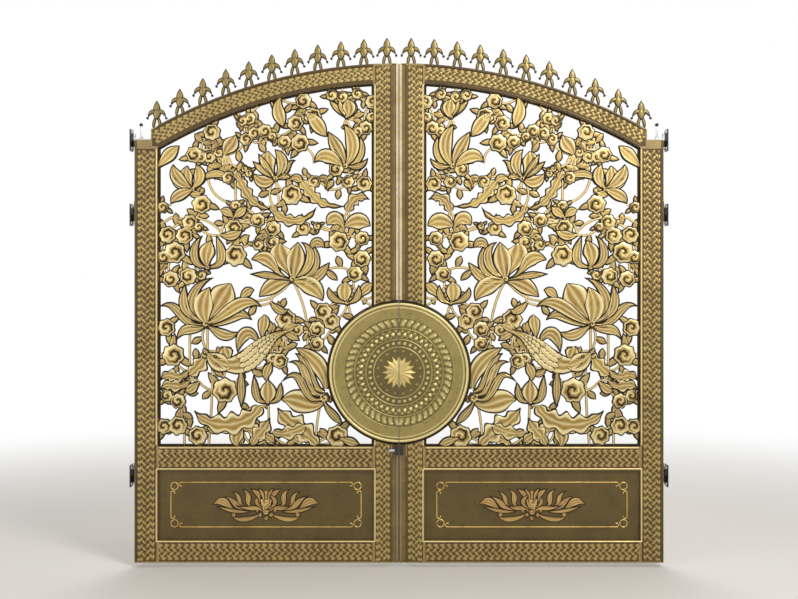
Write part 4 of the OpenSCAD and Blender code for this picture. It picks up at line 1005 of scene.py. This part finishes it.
def bolt_cap():
    """The dark round cap on the standing bolt."""
    angle = np.linspace(-0.42, 0.49, 9) * np.pi
    return [tubes(lathe(join(13 * np.cos(angle), 98 + 13 * np.sin(angle)), 20) + STUD)]


iron, tree, surface = new_finish("dark hinge paint", 0.2)
chip = rise(tree, noise(tree, 60.0, 5.0), 0.6, 0.7, 0.5)
rub_and_paint_light(tree, surface, ["2c2824", "211d19", "120f0c", "6b6258"], 0.0, chip)
zinc, tree, surface = new_finish("galvanised steel", 0.7)
cells = add_node(tree, "ShaderNodeTexVoronoi", {"Vector": own_place(tree), "Scale": 130.0})
rub_and_paint_light(tree, surface, ["b9bcbd", "a3a7a8", "7d8182", "d9dbdb"], 0.0, cells.outputs["Distance"])
for side in SIDES:
    for node in IRON_NODES:
        finish_node(f"{side}_{node}", iron)
    for node in ("top_strap", "drop_bolt"):
        finish_node(f"{side}_{node}", zinc)
add_pair("anchors", anchor_heads(), zinc, body="wall_fixings", sharp=30)
add_pair("standing_bolt", standing_bolt(), zinc, sharp=30)
add_pair("bolt_cap", bolt_cap(), iron)

# Latch. A small bolt under the drum locks the two leaves. Its case and keeper are dark steel blocks on the
# meeting strips, the bolt itself is galvanised.
for node, finish in (("latch_case", iron), ("latch_keeper", iron), ("latch_bolt", zinc)):
    finish_node(node, finish)

# Studio. A pale floor a little below the leaves, white far away, and soft light from the front and above.
FLOOR_Z, FLOOR_HALF = -0.03, 60
CORNERS = ((-1, -1), (1, -1), (1, 1), (-1, 1))


def seen_directly(tree):
    """1 for what the camera sees, also in a reflection, and 0 for light that falls on things."""
    path = add_node(tree, "ShaderNodeLightPath", {}).outputs
    mirrored = calc(tree, "MAXIMUM", path["Is Glossy Ray"], path["Is Transmission Ray"])
    return calc(tree, "MAXIMUM", path["Is Camera Ray"], mirrored)


floor_mesh = bpy.data.meshes.new("floor")
floor_spots = [(FLOOR_HALF * x, FLOOR_HALF * y, FLOOR_Z) for x, y in CORNERS]
floor_mesh.from_pydata(floor_spots, [], [(0, 1, 2, 3)])
floor = bpy.data.objects.new("floor", floor_mesh)
bpy.context.scene.collection.objects.link(floor)
pale, tree, surface = new_finish("pale floor", 0.0)
surface.inputs["Base Color"].default_value = paint("dedad2")
surface.inputs["Roughness"].default_value = 0.7
away = add_node(tree, "ShaderNodeVectorMath", {0: own_place(tree)}, operation="LENGTH").outputs["Value"]
glow = add_node(tree, "ShaderNodeEmission", {"Color": (1, 1, 1, 1), "Strength": 1.0})
far = calc(tree, "MULTIPLY", rise(tree, away, 3.0, 9.0), seen_directly(tree))
mix = add_node(tree, "ShaderNodeMixShader", {0: far, 1: surface.outputs[0], 2: glow.outputs[0]})
feed(tree, tree.nodes["Material Output"].inputs["Surface"], mix.outputs[0])
floor_mesh.materials.append(pale)

world = bpy.data.worlds.new("studio")
world.use_nodes = True
bpy.context.scene.world = world
tree = world.node_tree
strength = calc(tree, "MULTIPLY_ADD", seen_directly(tree), 0.55, 0.45)
tree.nodes["Background"].inputs["Color"].default_value = (1, 1, 1, 1)
feed(tree, tree.nodes["Background"].inputs["Strength"], strength)


def add_lamp(name, spot, aim, size, power):
    """A square soft light at a spot, turned towards its aim."""
    lamp = bpy.data.lights.new(name, "AREA")
    lamp.size, lamp.energy = size, power
    lamp_object = bpy.data.objects.new(name, lamp)
    lamp_object.location = spot
    way = Vector(aim) - Vector(spot)
    lamp_object.rotation_euler = way.to_track_quat("-Z", "Y").to_euler()
    bpy.context.scene.collection.objects.link(lamp_object)


add_lamp("key", (3.5, -6.0, 6.5), (0, 0, 1.6), 2.5, 420)
add_lamp("fill", (-6.0, -6.0, 3.0), (0, 0, 1.6), 4.0, 150)
add_lamp("rim", (0.0, 6.0, 6.0), (0, 0, 1.8), 4.0, 200)

camera = bpy.data.objects.new("camera", bpy.data.cameras.new("camera"))
camera.location = (0.0, -8.4, 1.9)
camera.rotation_euler = (np.pi / 2, 0, 0)
camera.data.sensor_width = 36.0
camera.data.lens = 55.5
camera.data.shift_y = -0.02
bpy.context.scene.collection.objects.link(camera)
bpy.context.scene.camera = camera
bpy.context.scene.view_settings.view_transform = "Standard"
